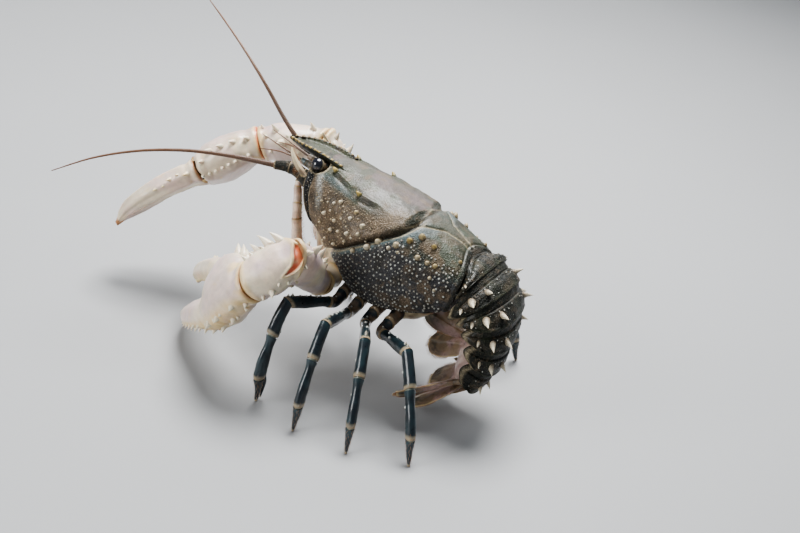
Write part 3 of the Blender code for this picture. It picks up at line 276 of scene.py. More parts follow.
class Form:
    """Points, triangles and paint of one piece as arrays. Paint's fourth value is its smoothness."""

    def __init__(self):
        self.points, self.faces, self.paint, self.count = [], [], [], 0

    def add(self, points, faces, paint, smooth):
        points = points.reshape(-1, 3)
        colours = np.empty((len(points), 4))
        colours[:, :3] = np.asarray(paint, float).reshape(-1, 3)
        colours[:, 3] = np.asarray(smooth, float).reshape(-1)
        self.points.append(points)
        self.faces.append(faces + self.count)
        self.paint.append(colours)
        self.count += len(points)

    def grid(self, points, paint, smooth=0.0, closed=True, caps=True):
        """A grid of points. A closed row joins its own ends, and a cap draws an end row to its middle."""
        rows, columns = points.shape[:2]
        paint = np.broadcast_to(paint, points.shape)
        smooth = np.broadcast_to(smooth, points.shape[:2])
        if caps:
            ends = [np.repeat(points[i].mean(0)[None, None], columns, 1) for i in (0, -1)]
            points = np.concatenate([ends[0], points, ends[1]])
            paint = np.concatenate([paint[:1], paint, paint[-1:]])
            smooth = np.concatenate([smooth[:1], smooth, smooth[-1:]])
            rows += 2
        index = np.arange(rows * columns).reshape(rows, columns)
        self.add(points, triangles(index, closed), paint, smooth)

    def stand(self, profile, at, way, height, radius, foot, tip, lean=(0.0, 0.0, 0.0), sides=7):
        """Turned shapes stood on points, each bent towards its lean by the square of the height."""
        at, way = np.atleast_2d(at), unit(np.atleast_2d(way))
        count = len(at)
        height = np.broadcast_to(height, count)[:, None, None, None]
        radius = np.broadcast_to(radius, count)[:, None, None, None]
        lean = np.broadcast_to(lean, at.shape)[:, None, None]
        beside = unit(np.cross(way, np.where(np.abs(way[:, 2:]) < 0.9, (0.0, 0.0, 1.0), (1.0, 0.0, 0.0))))
        other = np.cross(way, beside)
        h, r = (column[None, :, None, None] for column in np.array(profile).T)
        a = turns(sides)[None, None, :, None]
        ring = beside[:, None, None] * np.cos(a) + other[:, None, None] * np.sin(a)
        line = way[:, None, None] * h + lean * np.maximum(h, 0) ** 2
        points = at[:, None, None] + line * height + ring * (r * radius)
        share = np.clip(h, 0, 1) ** 0.8
        foot, tip = (np.broadcast_to(c, at.shape)[:, None, None] for c in (foot, tip))
        paint = np.broadcast_to(foot + (tip - foot) * share, points.shape)
        rows = len(profile)
        faces = triangles(np.arange(rows * sides).reshape(rows, sides))
        faces = faces + (np.arange(count) * rows * sides)[:, None, None]
        smooth = np.broadcast_to(0.4 + 0.6 * share[..., 0], points.shape[:-1])
        self.add(points, faces.reshape(-1, 3), paint, smooth)

    def bristles(self, at, way, length, radius, tints):
        """Three-sided hairs, rusty at the root and tan at the tip."""
        self.stand(BRISTLE, at, way, length, radius, tints.rust, tints.tan, sides=3)

    def build(self, name, slot, context, *nodes):
        """The object, its seams merged and its faces turned outwards, riding in place of the nodes."""
        points, faces = np.concatenate(self.points), np.concatenate(self.faces)
        mesh = bpy.data.meshes.new(name)
        mesh.vertices.add(len(points))
        mesh.vertices.foreach_set("co", points.astype(np.float32).ravel())
        mesh.loops.add(faces.size)
        mesh.loops.foreach_set("vertex_index", faces.astype(np.int32).ravel())
        mesh.polygons.add(len(faces))
        mesh.polygons.foreach_set("loop_start", np.arange(0, faces.size, 3, dtype=np.int32))
        mesh.update(calc_edges=True)
        layer = mesh.color_attributes.new("paint", "FLOAT_COLOR", "POINT")
        layer.data.foreach_set("color", np.concatenate(self.paint).astype(np.float32).ravel())
        bm = bmesh.new()
        bm.from_mesh(mesh)
        bmesh.ops.remove_doubles(bm, verts=bm.verts, dist=2e-6)
        bmesh.ops.recalc_face_normals(bm, faces=bm.faces)
        bm.to_mesh(mesh)
        bm.free()
        mesh.shade_smooth()
        mesh.set_sharp_from_angle(angle=math.radians(50.0))
        mesh.materials.append(finish(slot, context))
        piece = bpy.data.objects.new(name, mesh)
        context.scene.collection.objects.link(piece)
        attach(piece, "root")
        if nodes:
            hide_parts(*nodes)
        return piece


class Tube:
    """A tube of elliptical section along a smooth path in the world, whose ends are cut to given planes.

    path holds the points of the middle line, and halves, for each, the half size along `wide` and across it.
    Near an end, each point slides along the path by a growing share of the way to that end's plane.
    """

    def __init__(self, path, halves, wide, start=None, end=None):
        self.path = np.asarray(path, float)
        self.halves = np.asarray(halves, float)
        steps = np.linalg.norm(np.diff(self.path, axis=0), axis=1)
        self.length = steps.sum()
        self.places = np.concatenate([[0.0], np.cumsum(steps)]) / self.length
        self.wide = unit(wide)
        first, last = self.tangent(np.array([0.0]))[0], self.tangent(np.array([1.0]))[0]
        self.start = first if start is None else unit(start)
        self.end = last if end is None else unit(end)

    def middle(self, t):
        return curve(t, np.column_stack([self.places, self.path]))

    def tangent(self, t):
        h = 1e-3
        return unit(self.middle(np.minimum(t + h, 1.0)) - self.middle(np.maximum(t - h, 0.0)))

    def frame(self, t):
        tangent = self.tangent(t)
        wide = unit(self.wide - tangent * (tangent @ self.wide)[..., None])
        return tangent, wide, np.cross(tangent, wide)

    def at(self, t, angle, swell=1.0):
        """Surface points: angle 0 is along `wide`, and swell scales the section."""
        t, angle = np.broadcast_arrays(np.asarray(t, float), np.asarray(angle, float))
        tangent, wide, across = self.frame(t)
        halves = curve(t, np.column_stack([self.places, self.halves]))
        halves = halves * np.broadcast_to(swell, t.shape)[..., None]
        c, s = np.cos(angle)[..., None], np.sin(angle)[..., None]
        radial = wide * (halves[..., :1] * c) + across * (halves[..., 1:] * s)
        near_start = np.clip(1 - t / 0.5, 0, 1)[..., None]
        near_end = np.clip((t - 0.5) / 0.5, 0, 1)[..., None]
        slide = -(
            near_start * (radial @ self.start)[..., None] / (tangent @ self.start)[..., None]
            + near_end * (radial @ self.end)[..., None] / (tangent @ self.end)[..., None]
        )
        return self.middle(t) + radial + tangent * slide

    def normal(self, t, angle):
        t, angle = np.broadcast_arrays(np.asarray(t, float), np.asarray(angle, float))
        _, wide, across = self.frame(t)
        halves = curve(t, np.column_stack([self.places, self.halves]))
        c, s = np.cos(angle)[..., None], np.sin(angle)[..., None]
        return unit(wide * (c / halves[..., :1]) + across * (s / halves[..., 1:]))

    def sheet(self, rows, sides, t0=0.0, t1=1.0):
        """Grids of t and angle for a surface of that many rows and sides."""
        return np.meshgrid(np.linspace(t0, t1, rows), turns(sides), indexing="ij")

    def spines(self, form, places, foot, tip, lean=0.45, profile=THORN, sides=10, width=0.28, root=0.0004):
        """Spines at (t, degrees, length), leaning forward. A radius is a share of the length, plus root."""
        t, degrees, length = np.array(places, float).T
        angle = np.radians(degrees)
        form.stand(profile, self.at(t, angle), self.normal(t, angle) + self.tangent(t) * lean * 0.5, length,
                   width * length + root, foot, tip, lean=self.tangent(t) * lean * 0.7, sides=sides)


# Finishes

class Wire:
    """A socket, wrapped so that sums and products of sockets can be written as Python expressions."""

    def __init__(self, finish, socket):
        self.finish, self.socket = finish, socket

    def math(self, operation, first, second=0.0):
        node = self.finish.node("ShaderNodeMath", {"operation": operation}, {0: first, 1: second})
        return Wire(self.finish, node.outputs[0])

    def __add__(self, other):
        return self.math("ADD", self, other)

    def __sub__(self, other):
        return self.math("SUBTRACT", self, other)

    def __rsub__(self, other):
        return self.math("SUBTRACT", other, self)

    def __mul__(self, other):
        return self.math("MULTIPLY", self, other)

    __radd__, __rmul__ = __add__, __mul__


class Finish:
    """A procedural material: its shader and the nodes that feed it, on Object coordinates in metres."""

    def __init__(self, name, **values):
        self.material = bpy.data.materials.new("fine_" + name)
        self.material.use_nodes = True
        self.tree = self.material.node_tree
        self.shader = self.tree.nodes["Principled BSDF"]
        self.place = self.tree.nodes.new("ShaderNodeTexCoord").outputs["Object"]
        for socket, value in values.items():
            self.shader.inputs[socket.replace("_", " ")].default_value = value

    def node(self, kind, settings=None, inputs=None):
        node = self.tree.nodes.new(kind)
        for key, value in (settings or {}).items():
            setattr(node, key, value)
        for key, value in (inputs or {}).items():
            self.put(node.inputs[key], value)
        return node

    def put(self, socket, value):
        if isinstance(value, Wire):
            self.tree.links.new(value.socket, socket)
        elif hasattr(value, "is_output"):
            self.tree.links.new(value, socket)
        else:
            socket.default_value = value

    def paint(self):
        """The piece's painted colour and its smoothness."""
        node = self.node("ShaderNodeAttribute", {"attribute_name": "paint"})
        return Wire(self, node.outputs["Color"]), Wire(self, node.outputs["Alpha"])

    def noise(self, size, detail=4.0, distortion=0.0):
        """Noise from 0 to 1 whose patches are about that many metres across."""
        node = self.node("ShaderNodeTexNoise", None, {
            "Vector": self.place, "Scale": 1 / size, "Detail": detail, "Roughness": 0.55,
            "Distortion": distortion})
        return Wire(self, node.outputs["Fac"])

    def cells(self, size):
        """The distance to the middle of the nearest cell of about that size, as a share of it."""
        node = self.node("ShaderNodeTexVoronoi", None, {"Vector": self.place, "Scale": 1 / size})
        return Wire(self, node.outputs["Distance"])

    def step(self, value, low, high):
        node = self.node("ShaderNodeMapRange", {"interpolation_type": "SMOOTHSTEP"},
                         {"Value": value, "From Min": low, "From Max": high})
        return Wire(self, node.outputs["Result"])

    def blend(self, share, first, second, kind="MIX"):
        """Two colours mixed, or multiplied with kind MULTIPLY."""
        node = self.node("ShaderNodeMix", {"data_type": "RGBA", "blend_type": kind},
                         {0: share, 6: first, 7: second})
        return Wire(self, node.outputs[2])

    def shade(self, colour, value):
        """A colour made lighter or darker by a number."""
        colour = colour if isinstance(colour, Wire) else colour[:3]
        node = self.node("ShaderNodeVectorMath", {"operation": "SCALE"}, {0: colour, "Scale": value})
        return Wire(self, node.outputs[0])

    def finish(self, colour, roughness, height, distance):
        bump = self.node("ShaderNodeBump", None, {"Height": height, "Distance": distance, "Strength": 1.0})
        self.put(self.shader.inputs["Base Color"], colour)
        self.put(self.shader.inputs["Roughness"], roughness)
        self.put(self.shader.inputs["Normal"], bump.outputs["Normal"])
        return self.material


def rgb(colour):
    return (*colour, 1.0)


def shell_finish(tints):
    """Wet mottled shell: painted zones, mottling, brown flecks, pebbles and pale pin-point grains."""
    f = Finish("shell", Coat_Weight=0.12, Coat_Roughness=0.20, Specular_IOR_Level=0.24)
    colour, smooth = f.paint()
    broad, middling, fine = f.noise(0.009, 6.0, 0.6), f.noise(0.0022, 5.0, 0.3), f.noise(0.0005, 3.0)
    rough_skin = 1.0 - smooth
    colour = f.shade(colour, 0.50 + 1.0 * middling + 0.5 * (fine - 0.5))
    flecks = f.step(f.noise(0.0034, 5.0, 1.2), 0.52, 0.70) * rough_skin * 0.6
    colour = f.blend(flecks, colour, rgb(tints.shell_brown))
    dark = f.step(f.noise(0.0046, 5.0, 1.5), 0.52, 0.68) * rough_skin * 0.55
    specks = f.step(f.noise(0.0008, 3.0), 0.50, 0.68) * 0.45
    colour = f.blend(dark.math("MAXIMUM", dark, specks), colour, rgb(tints.shell_dark))
    pebbles = (1.0 - f.step(f.cells(0.00075), 0.15, 0.62)) * rough_skin
    colour = f.shade(colour, 0.72 + 0.62 * pebbles + 0.28 * smooth)
    grains = (1.0 - f.step(f.cells(0.00105), 0.10, 0.30)) * f.step(broad, 0.40, 0.62) * rough_skin
    colour = f.blend(grains * 0.40, colour, rgb(tints.shell_warm))
    height = pebbles * 0.8 + grains * 0.4 + middling * 0.5 + fine * 0.25 * rough_skin
    return f.finish(colour, 0.20 + 0.22 * middling + 0.12 * rough_skin + 0.08 * fine, height, 0.00030)


def ivory_finish(tints):
    """Smooth ivory shell: a lilac and pink blush, faint grey pores and warm stains."""
    f = Finish("ivory", Coat_Weight=0.22, Coat_Roughness=0.18, Subsurface_Weight=0.08,
               Subsurface_Scale=0.0015)
    colour, smooth = f.paint()
    broad, middling, fine = f.noise(0.016, 4.0, 0.5), f.noise(0.003, 5.0, 0.4), f.noise(0.0006, 3.0)
    blush = f.step(broad, 0.42, 0.72) * (1.0 - smooth) * 0.30
    colour = f.blend(blush, colour, rgb(tints.blush), "MULTIPLY")
    colour = f.shade(colour, 0.72 + 0.48 * middling)
    pores = (1.0 - f.step(f.cells(0.0013), 0.03, 0.12)) * f.step(f.noise(0.006), 0.48, 0.62) * (1.0 - smooth)
    colour = f.blend(pores * 0.60, colour, (0.26, 0.18, 0.12, 1.0))
    stains = f.step(f.noise(0.0052, 6.0, 1.0), 0.58, 0.76) * 0.42
    colour = f.blend(stains, colour, rgb(tints.warm_edge))
    height = middling * 0.7 + fine * 0.25 - pores * 0.6
    return f.finish(colour, 0.28 + 0.16 * middling, height, 0.00020)


def leg_finish(tints):
    """Glossy blue-black leg shell with fine lengthwise cloudiness."""
    f = Finish("leg", Coat_Weight=0.45, Coat_Roughness=0.10)
    colour, smooth = f.paint()
    middling, fine = f.noise(0.0018, 5.0, 0.8), f.noise(0.0004, 3.0)
    colour = f.shade(colour, 0.62 + 0.75 * middling)
    teal = f.step(f.noise(0.005, 4.0, 0.6), 0.50, 0.70) * (1.0 - smooth) * 0.30
    colour = f.blend(teal, colour, rgb(tints.leg_teal))
    height = middling * 0.6 + fine * 0.3
    return f.finish(colour, 0.20 + 0.22 * middling, height, 0.00018)


def fan_finish(tints):
    """Thin horn of the tail fan: fine rays of colour, stains and a wet gloss."""
    f = Finish("fan", Coat_Weight=0.4, Coat_Roughness=0.12, Subsurface_Weight=0.15, Subsurface_Scale=0.0015)
    colour, smooth = f.paint()
    middling, fine = f.noise(0.0024, 6.0, 0.8), f.noise(0.0005, 3.0)
    colour = f.shade(colour, 0.55 + 0.9 * middling)
    stains = f.step(f.noise(0.0048, 5.0, 1.2), 0.52, 0.70) * (1.0 - smooth) * 0.5
    colour = f.blend(stains, colour, rgb(tints.shell_dark))
    return f.finish(colour, 0.24 + 0.25 * middling, middling * 0.6 + fine * 0.3, 0.00020)


def eye_finish(tints):
    """Black glossy eye with facets almost too small to see."""
    f = Finish("eye", Coat_Weight=1.0, Coat_Roughness=0.03)
    colour, _ = f.paint()
    facets = f.cells(0.00016)
    colour = f.shade(colour, 0.75 + 0.5 * f.noise(0.0015))
    return f.finish(colour, 0.10 + 0.12 * facets, facets * 0.4, 0.00003)


def feeler_finish(tints):
    """Dull ringed horn of the feelers."""
    f = Finish("feeler", Coat_Weight=0.2, Coat_Roughness=0.2)
    colour, _ = f.paint()
    middling = f.noise(0.0012, 5.0)
    return f.finish(f.shade(colour, 0.6 + 0.8 * middling), 0.34 + 0.2 * middling, middling, 0.0001)


def mouth_finish(tints):
    """Tan and cream skin and shell of the underside, mouth legs and membranes."""
    f = Finish("mouth", Coat_Weight=0.3, Coat_Roughness=0.15, Subsurface_Weight=0.12, Subsurface_Scale=0.0015)
    colour, smooth = f.paint()
    middling, fine = f.noise(0.002, 6.0, 0.8), f.noise(0.0005, 3.0)
    colour = f.shade(colour, 0.62 + 0.75 * middling)
    stains = f.step(f.noise(0.0042, 6.0, 1.4), 0.54, 0.72) * (1.0 - smooth) * 0.35
    colour = f.blend(stains, colour, rgb(tints.shell_brown))
    return f.finish(colour, 0.30 + 0.25 * middling, middling * 0.6 + fine * 0.3, 0.00022)


def floor_finish(tints):
    """Pale matt floor, faintly clouded."""
    f = Finish("floor")
    cloud, fine = f.noise(0.22, 4.0), f.noise(0.002, 3.0)
    colour = f.shade(rgb(tints.floor), 0.97 + 0.06 * cloud)
    return f.finish(colour, 0.55 + 0.1 * cloud, fine, 0.00004)


FINISHES = {
    "shell": shell_finish, "ivory": ivory_finish, "leg": leg_finish, "fan": fan_finish, "eye": eye_finish,
    "feeler": feeler_finish, "mouth": mouth_finish, "floor": floor_finish,
}


def finish(name, context):
    """The fine material of that name, made the first time it is asked for."""
    full = "fine_" + name
    if full not in bpy.data.materials:
        FINISHES[name](context.scene.crayfish_tints)
    return bpy.data.materials[full]


# Carapace

def carapace_outside(x, v):
    """Point of the shell at station x. v is 0 on the mid line, 1 on the left margin and -1 on the right one.

    The back is a quarter of a superellipse from the top to the widest place, and the side a quarter of an
    ellipse from there in to the margin.
    """
    x, v = np.broadcast_arrays(np.asarray(x, float), np.asarray(v, float))
    side, v = np.where(v < 0, -1.0, 1.0), np.abs(v)
    tables = (TOP, HALF_WIDTH, WIDEST_Z, MARGIN_Z, MARGIN_Y)
    top, half, widest, margin_z, margin_y = (curve(x / CARAPACE, knots) for knots in tables)
    up = np.clip(v / BACK_SHARE, 0, 1) * math.pi / 2
    down = np.clip((v - BACK_SHARE) / (1 - BACK_SHARE), 0, 1) * math.pi / 2
    y = np.where(v < BACK_SHARE, half * np.sin(up) ** SHELL_POWER,
                 margin_y + (half - margin_y) * np.cos(down))
    z = np.where(v < BACK_SHARE, widest + (top - widest) * np.cos(up) ** SHELL_POWER,
                 widest - (widest - margin_z) * np.sin(down))
    share = np.clip((x / CARAPACE - 0.45) / 0.55, 0, 1) ** 2
    px = x - share * FRONT_FALL * ((top - z) / FRONT_DEPTH) ** 2
    px = px + REAR_NOTCH * bell(y, 0.0, REAR_NOTCH_HALF) * np.clip(1 - x / 0.034, 0, 1) ** 2
    return np.stack([px, y * side, z], -1)


def shell_normal(x, v):
    h = 4e-4
    along = carapace_outside(x + h, v) - carapace_outside(np.maximum(x - h, 0), v)
    down = carapace_outside(x, v + h * 10) - carapace_outside(x, v - h * 10)
    n = unit(np.cross(along, down))
    centre = np.array([0.043, 0.0, 0.022])
    return np.where(((carapace_outside(x, v) - centre) * n).sum(-1, keepdims=True) > 0, n, -n)


def groove_distance(x, z):
    """How far forward of the cervical groove a point of the shell lies."""
    return x - curve(z, GROOVE)


BRANCHIAL_LINE = ((0.0, 0.0016), (0.009, 0.0022), (0.015, 0.0034), (0.0198, 0.0047), (0.0237, 0.0081),
                  (0.028, 0.0114), (0.032, 0.0150))
RIDGES = ((0.0745, 0.0620, 0.218, 0.262), (0.0585, 0.0460, 0.283, 0.252))  # front x, hind x, v at each


def carve_socket(points):
    """Points inside an eye socket move to the far side of its ball, by a share that grows to its middle."""
    for side in (1, -1):
        centre = EYE_AT * np.array([1, side, 1])
        out = unit((0.55, side * 0.62, 0.48))
        d = points - centre
        depth = 1 - np.linalg.norm(d, axis=-1, keepdims=True) / SOCKET_RADIUS
        sunk = centre + unit(d - out * SOCKET_RADIUS * depth * 1.6) * SOCKET_RADIUS
        points = np.where(depth > 0, sunk, points)
    return points


LOBE = (0.0031, 0.15, 0.0020, 0.135)  # dark hollow at the groove's upper end: how far ahead, v, half sizes
FRONT_BAND = ((0.25, 0.0050), (0.378, 0.0067), (0.536, 0.0097), (0.687, 0.0104), (1.0, 0.0104))
BORDER = ((0.20, 0.0036), (0.45, 0.0040), (0.70, 0.0028), (1.0, 0.0022))


def lobe_reach(ahead, a):
    """0 in the middle of the dark hollow, 1 on its border and more outside."""
    return np.hypot((ahead - LOBE[0]) / LOBE[2], (a - LOBE[1]) / LOBE[3])


def shell_relief(x, v, points):
    """How far the shell stands out: grooves pressed in, the ridges behind the eyes and broad waves."""
    y, z, a = np.abs(points[..., 1]), points[..., 2], np.abs(v)
    ahead = groove_distance(x, z)
    opened = 0.12 + 0.88 * ease(a, 0.06, 0.26)
    relief = -0.0019 * bell(ahead, 0.0, 0.0015) * opened
    relief += 0.0007 * ease(ahead, 0.0, 0.004) * (1 - ease(ahead, 0.004, 0.02)) * opened
    relief -= 0.0004 * (1 - ease(lobe_reach(ahead, a), 0.5, 1.1))
    line = curve(x, BRANCHIAL_LINE)
    relief -= 0.0006 * bell(y, line, 0.0008) * (1 - ease(x, 0.029, 0.032)) * (z > 0.03)
    for front, hind, v0, v1 in RIDGES:
        s = np.clip((front - x) / (front - hind), 0, 1)
        middle = v0 + (v1 - v0) * s
        relief += (0.0009 * bell(a, middle, 0.022) * ease(front + 0.001 - x, 0, 0.002)
                   * (1 - ease(s, 0.3, 1.0)))
        relief -= 0.0005 * bell(a, middle + 0.045, 0.03) * ease(front - x, 0, 0.003) * (1 - ease(s, 0.6, 1.0))
    relief += 0.00029 * noise(points, 0.0075, 1.0) + 0.00013 * noise(points, 0.0024, 2.0)
    relief += 0.00016 * noise(points, 0.0013, 20.0) * ease(a, 0.30, 0.44)
    away = FRONT_X - x
    relief += 0.0004 * bell(away, 0.0010, 0.0008) - 0.0006 * bell(away, curve(a, BORDER) - 0.0004, 0.0008)
    relief += 0.0003 * bell(a, 0.985, 0.012) - 0.0004 * bell(a, 0.945, 0.014)
    relief -= 0.0004 * bell(x, 0.0030, 0.0009)
    return relief


def head_paint(x, points, a, ahead, tints):
    """Colours ahead of the groove: grey back, olive towards the beak, brown cheek and granular band."""
    colour = mixed(tints.shell_grey, tints.shell_violet, ease(noise(points, 0.012, 5.0), -0.2, 0.4))
    colour = mixed(colour, tints.shell_green,
                   ease(noise(points, 0.008, 6.0), -0.3, 0.4) * ease(x, 0.040, 0.058) * 0.8)
    colour = mixed(colour, tints.shell_green, ease(noise(points, 0.0046, 21.0), 0.0, 0.5) * 0.75)
    colour = mixed(colour, tints.shell_brown, ease(noise(points, 0.0027, 24.0), 0.1, 0.6) * 0.65)
    colour = mixed(colour, tints.shell_dark, ease(noise(points, 0.0062, 25.0), 0.1, 0.7) * 0.35)
    cheek = ease(a, 0.33, 0.43)
    colour = mixed(colour, tints.shell_blue, bell(a, 0.33, 0.05) * ease(x, 0.055, 0.066) * 0.75)
    colour = mixed(colour, tints.shell_brown, cheek * 0.95)
    granular = bell(ahead, 0.0078, 0.0056) * ease(a, 0.12, 0.24) * (1 - ease(a, 0.58, 0.78))
    colour = mixed(colour, tints.shell_warm, granular * 0.75)
    colour = mixed(colour, tints.shell_dark, ease(noise(points, 0.0046, 7.0), 0.0, 0.45) * cheek * 0.55)
    colour = mixed(colour, tints.shell_warm, ease(noise(points, 0.0032, 8.0), 0.2, 0.55) * cheek * 0.55)
    # Painted shade: a dark band along the front wall of the cervical groove on the cheek
    colour = mixed(colour, tints.shell_dark, bell(ahead, 0.0016, 0.0016) * ease(a, 0.24, 0.36) * 0.4)
    # Streaks beside the ridges behind the eyes: dark shell colour and painted shade of the hollow beside them
    for front, rear, v0, v1 in RIDGES:
        s = np.clip((front - x) / (front - rear), 0, 1)
        along = ease(front - x, -0.0004, 0.0012) * (1 - ease(s, 0.72, 1.0))
        streak_and_shade = bell(a, v0 + (v1 - v0) * s + 0.030, 0.024 - 0.010 * s) * along
        strength = 0.8 if front > 0.07 else 0.45
        blurred = np.clip(streak_and_shade * (strength + 0.7 * noise(points, 0.0024, 23.0)), 0, 0.9)
        colour = mixed(colour, mixed(tints.shell_black, tints.shell_green, 0.25), blurred)
    return colour


def hind_paint(x, points, a, ahead, tints):
    """Colours behind the groove: blue-grey band, dark gill cover, olive upper part and the areola."""
    y, z = np.abs(points[..., 1]), points[..., 2]
    colour = mixed(tints.shell_blue, tints.gill_cover, ease(-ahead, 0.0026, 0.0060) * ease(a, 0.33, 0.50))
    colour = mixed(colour, tints.shell_green, ease(0.50 - a, 0.0, 0.16) * ease(-ahead, 0.004, 0.014) * 0.85)
    colour = mixed(colour, tints.shell_dark,
                   ease(noise(points, 0.0050, 22.0), 0.0, 0.5) * ease(-ahead, 0.003, 0.008) * 0.6)
    rusty = ease(noise(points, 0.0046, 9.0), 0.05, 0.5) * ease(0.036 - x, 0.0, 0.012) * ease(a, 0.12, 0.30)
    colour = mixed(colour, tints.shell_brown, rusty * 0.8)
    line_y = curve(x, BRANCHIAL_LINE)
    back = (z > 0.03) * (1 - ease(x, 0.029, 0.032))
    colour = mixed(colour, mixed(tints.shell_grey, tints.shell_green, 0.55), (y < line_y) * back * 0.8)
    colour = mixed(colour, tints.shell_brown, ease(noise(points, 0.003, 10.0), 0.1, 0.6) * back * 0.4)
    return mixed(colour, tints.cream, bell(y, line_y, 0.00040) * back * 0.65)


def shell_paint(x, v, points, tints):
    """Colour zones of the shell ahead of the groove and behind it, with wavy borders and fine lines."""
    wave = noise(points, 0.006, 3.0) * 0.0016 + noise(points, 0.0022, 4.0) * 0.0007
    a = np.abs(v) + wave * 9
    ahead = groove_distance(x, points[..., 2]) + wave * 0.4
    head, hind = (paint(x, points, a, ahead, tints) for paint in (head_paint, hind_paint))
    colour = mixed(hind, head, ease(ahead, -0.0005, 0.0005))
    opened = ease(a, 0.10, 0.20)
    colour = mixed(colour, tints.shell_dark, bell(ahead, 0.0003, 0.0007) * (0.35 + 0.6 * opened))
    colour = mixed(colour, tints.cream, bell(ahead, -0.0013, 0.00045) * 0.75 * opened)
    foot = np.exp(-(((ahead + 0.0006) / 0.0019) ** 2)) * ease(a, 0.80, 0.88)
    colour = mixed(colour, tints.membrane_pale, foot * 0.9)
    hollow = lobe_reach(ahead, a)
    colour = mixed(colour, mixed(tints.shell_black, tints.shell_green, 0.30), 1 - ease(hollow, 0.75, 1.08))
    curl = bell(hollow, 1.18, 0.08) * ease(LOBE[0] + 0.0006 - ahead, 0, 0.0012)
    colour = mixed(colour, tints.cream, curl * 0.5)
    away = FRONT_X - x + wave * 0.3
    band = bell(away, curve(a, FRONT_BAND), 0.0019) * ease(a, 0.28, 0.36) * (1 - ease(a, 0.56, 0.74))
    colour = mixed(colour, tints.pale_band, band * 0.85)
    border = curve(a, BORDER)
    colour = mixed(colour, tints.shell_navy,
                   (1 - ease(away, border - 0.0005, border + 0.0004)) * ease(a, 0.24, 0.34))
    colour = mixed(colour, tints.cream, bell(away, border + 0.0007, 0.0003) * ease(a, 0.44, 0.60) * 0.6)
    colour = mixed(colour, tints.cream, (1 - ease(away, 0.0003, 0.0008)) * ease(a, 0.30, 0.40) * 0.6)
    colour = mixed(colour, tints.shell_black, (1 - ease(x, 0.0012, 0.0026)) * 0.8)
    colour = mixed(colour, tints.shell_brown, ease(np.abs(v), 0.95, 1.0) * 0.6)
    for side in (1, -1):
        d = np.linalg.norm(points - EYE_AT * np.array([1, side, 1]), axis=-1)
        colour = mixed(colour, tints.cream, bell(d, SOCKET_RADIUS + 0.0003, 0.0005) * 0.7)
        colour = mixed(colour, tints.socket, 1 - ease(d, SOCKET_RADIUS - 0.0006, SOCKET_RADIUS - 0.0001))
    return colour


def shell_smoothness(x, v, points):
    """How smooth the skin is: 1 on the polished back, 0 on the granular cheeks and gill covers."""
    a = np.abs(v)
    ahead = groove_distance(x, points[..., 2])
    front = 0.80 - 0.40 * ease(x, 0.052, 0.064) * ease(a, 0.05, 0.15)
    front = front * (1 - ease(a, 0.24, 0.38)) * (1 - 0.8 * bell(ahead, 0.0078, 0.0056) * ease(a, 0.12, 0.22))
    front = front * (1 - 0.95 * (1 - ease(lobe_reach(ahead, a), 0.8, 1.2)))
    hind = 0.65 - 0.5 * ease(a, 0.16, 0.34)
    return hind + (front - hind) * ease(ahead, -0.0005, 0.0005)


CHEEK_KNOBS = (
    (0.0550, 0.419, 0.95), (0.0560, 0.489, 0.90), (0.0488, 0.476, 1.15), (0.0540, 0.596, 1.0),
    (0.0488, 0.544, 0.95), (0.0639, 0.436, 0.90), (0.0668, 0.486, 0.75), (0.0698, 0.619, 1.0),
    (0.0631, 0.596, 0.85), (0.0536, 0.650, 0.75), (0.0590, 0.634, 0.80), (0.0637, 0.672, 0.90),
    (0.0722, 0.717, 0.70), (0.0735, 0.560, 0.65), (0.0600, 0.540, 0.60), (0.0700, 0.520, 0.55),
    (0.0670, 0.560, 0.60), (0.0590, 0.720, 0.80), (0.0660, 0.760, 0.70), (0.0690, 0.830, 0.60),
    (0.0450, 0.560, 0.55), (0.0512, 0.600, 0.60), (0.0560, 0.560, 0.50), (0.0760, 0.650, 0.50),
    (0.0600, 0.480, 0.45),
)
CERVICAL_KNOBS = (
    (0.0398, 0.500, 1.35), (0.0428, 0.582, 1.20), (0.0322, 0.440, 1.20), (0.0285, 0.350, 1.15),
    (0.0253, 0.262, 1.25), (0.0186, 0.268, 1.05), (0.0218, 0.424, 1.05), (0.0171, 0.419, 0.95),
    (0.0136, 0.406, 1.0), (0.0043, 0.240, 0.85), (0.0482, 0.664, 0.95), (0.0344, 0.494, 0.85),
    (0.0300, 0.480, 0.70), (0.0130, 0.520, 0.80), (0.0090, 0.600, 0.75),
)


def on_shell(x, v):
    """World places and outward ways of points of the shell."""
    points = carapace_outside(x, v)
    normal = shell_normal(x, v)
    points = points + normal * shell_relief(x, v, points)[..., None]
    return world(points), world_direction(normal)


def lattice(x0, x1, v0, v1, spacing, arc, seed):
    """A staggered lattice on the shell, each point moved a little, and a random number for each."""
    columns, rows = int((x1 - x0) / spacing), int((v1 - v0) * arc / spacing)
    i, j = (k.ravel().astype(float) for k in np.meshgrid(np.arange(columns), np.arange(rows), indexing="ij"))
    cell = np.stack([i, j], -1)
    x = x0 + (i + 0.5 * (j % 2) + 0.55 * (scatter(cell, seed) - 0.5)) * spacing
    v = v0 + (j + 0.55 * (scatter(cell, seed + 1) - 0.5)) * spacing / arc
    return x, v, scatter(cell, seed + 2)


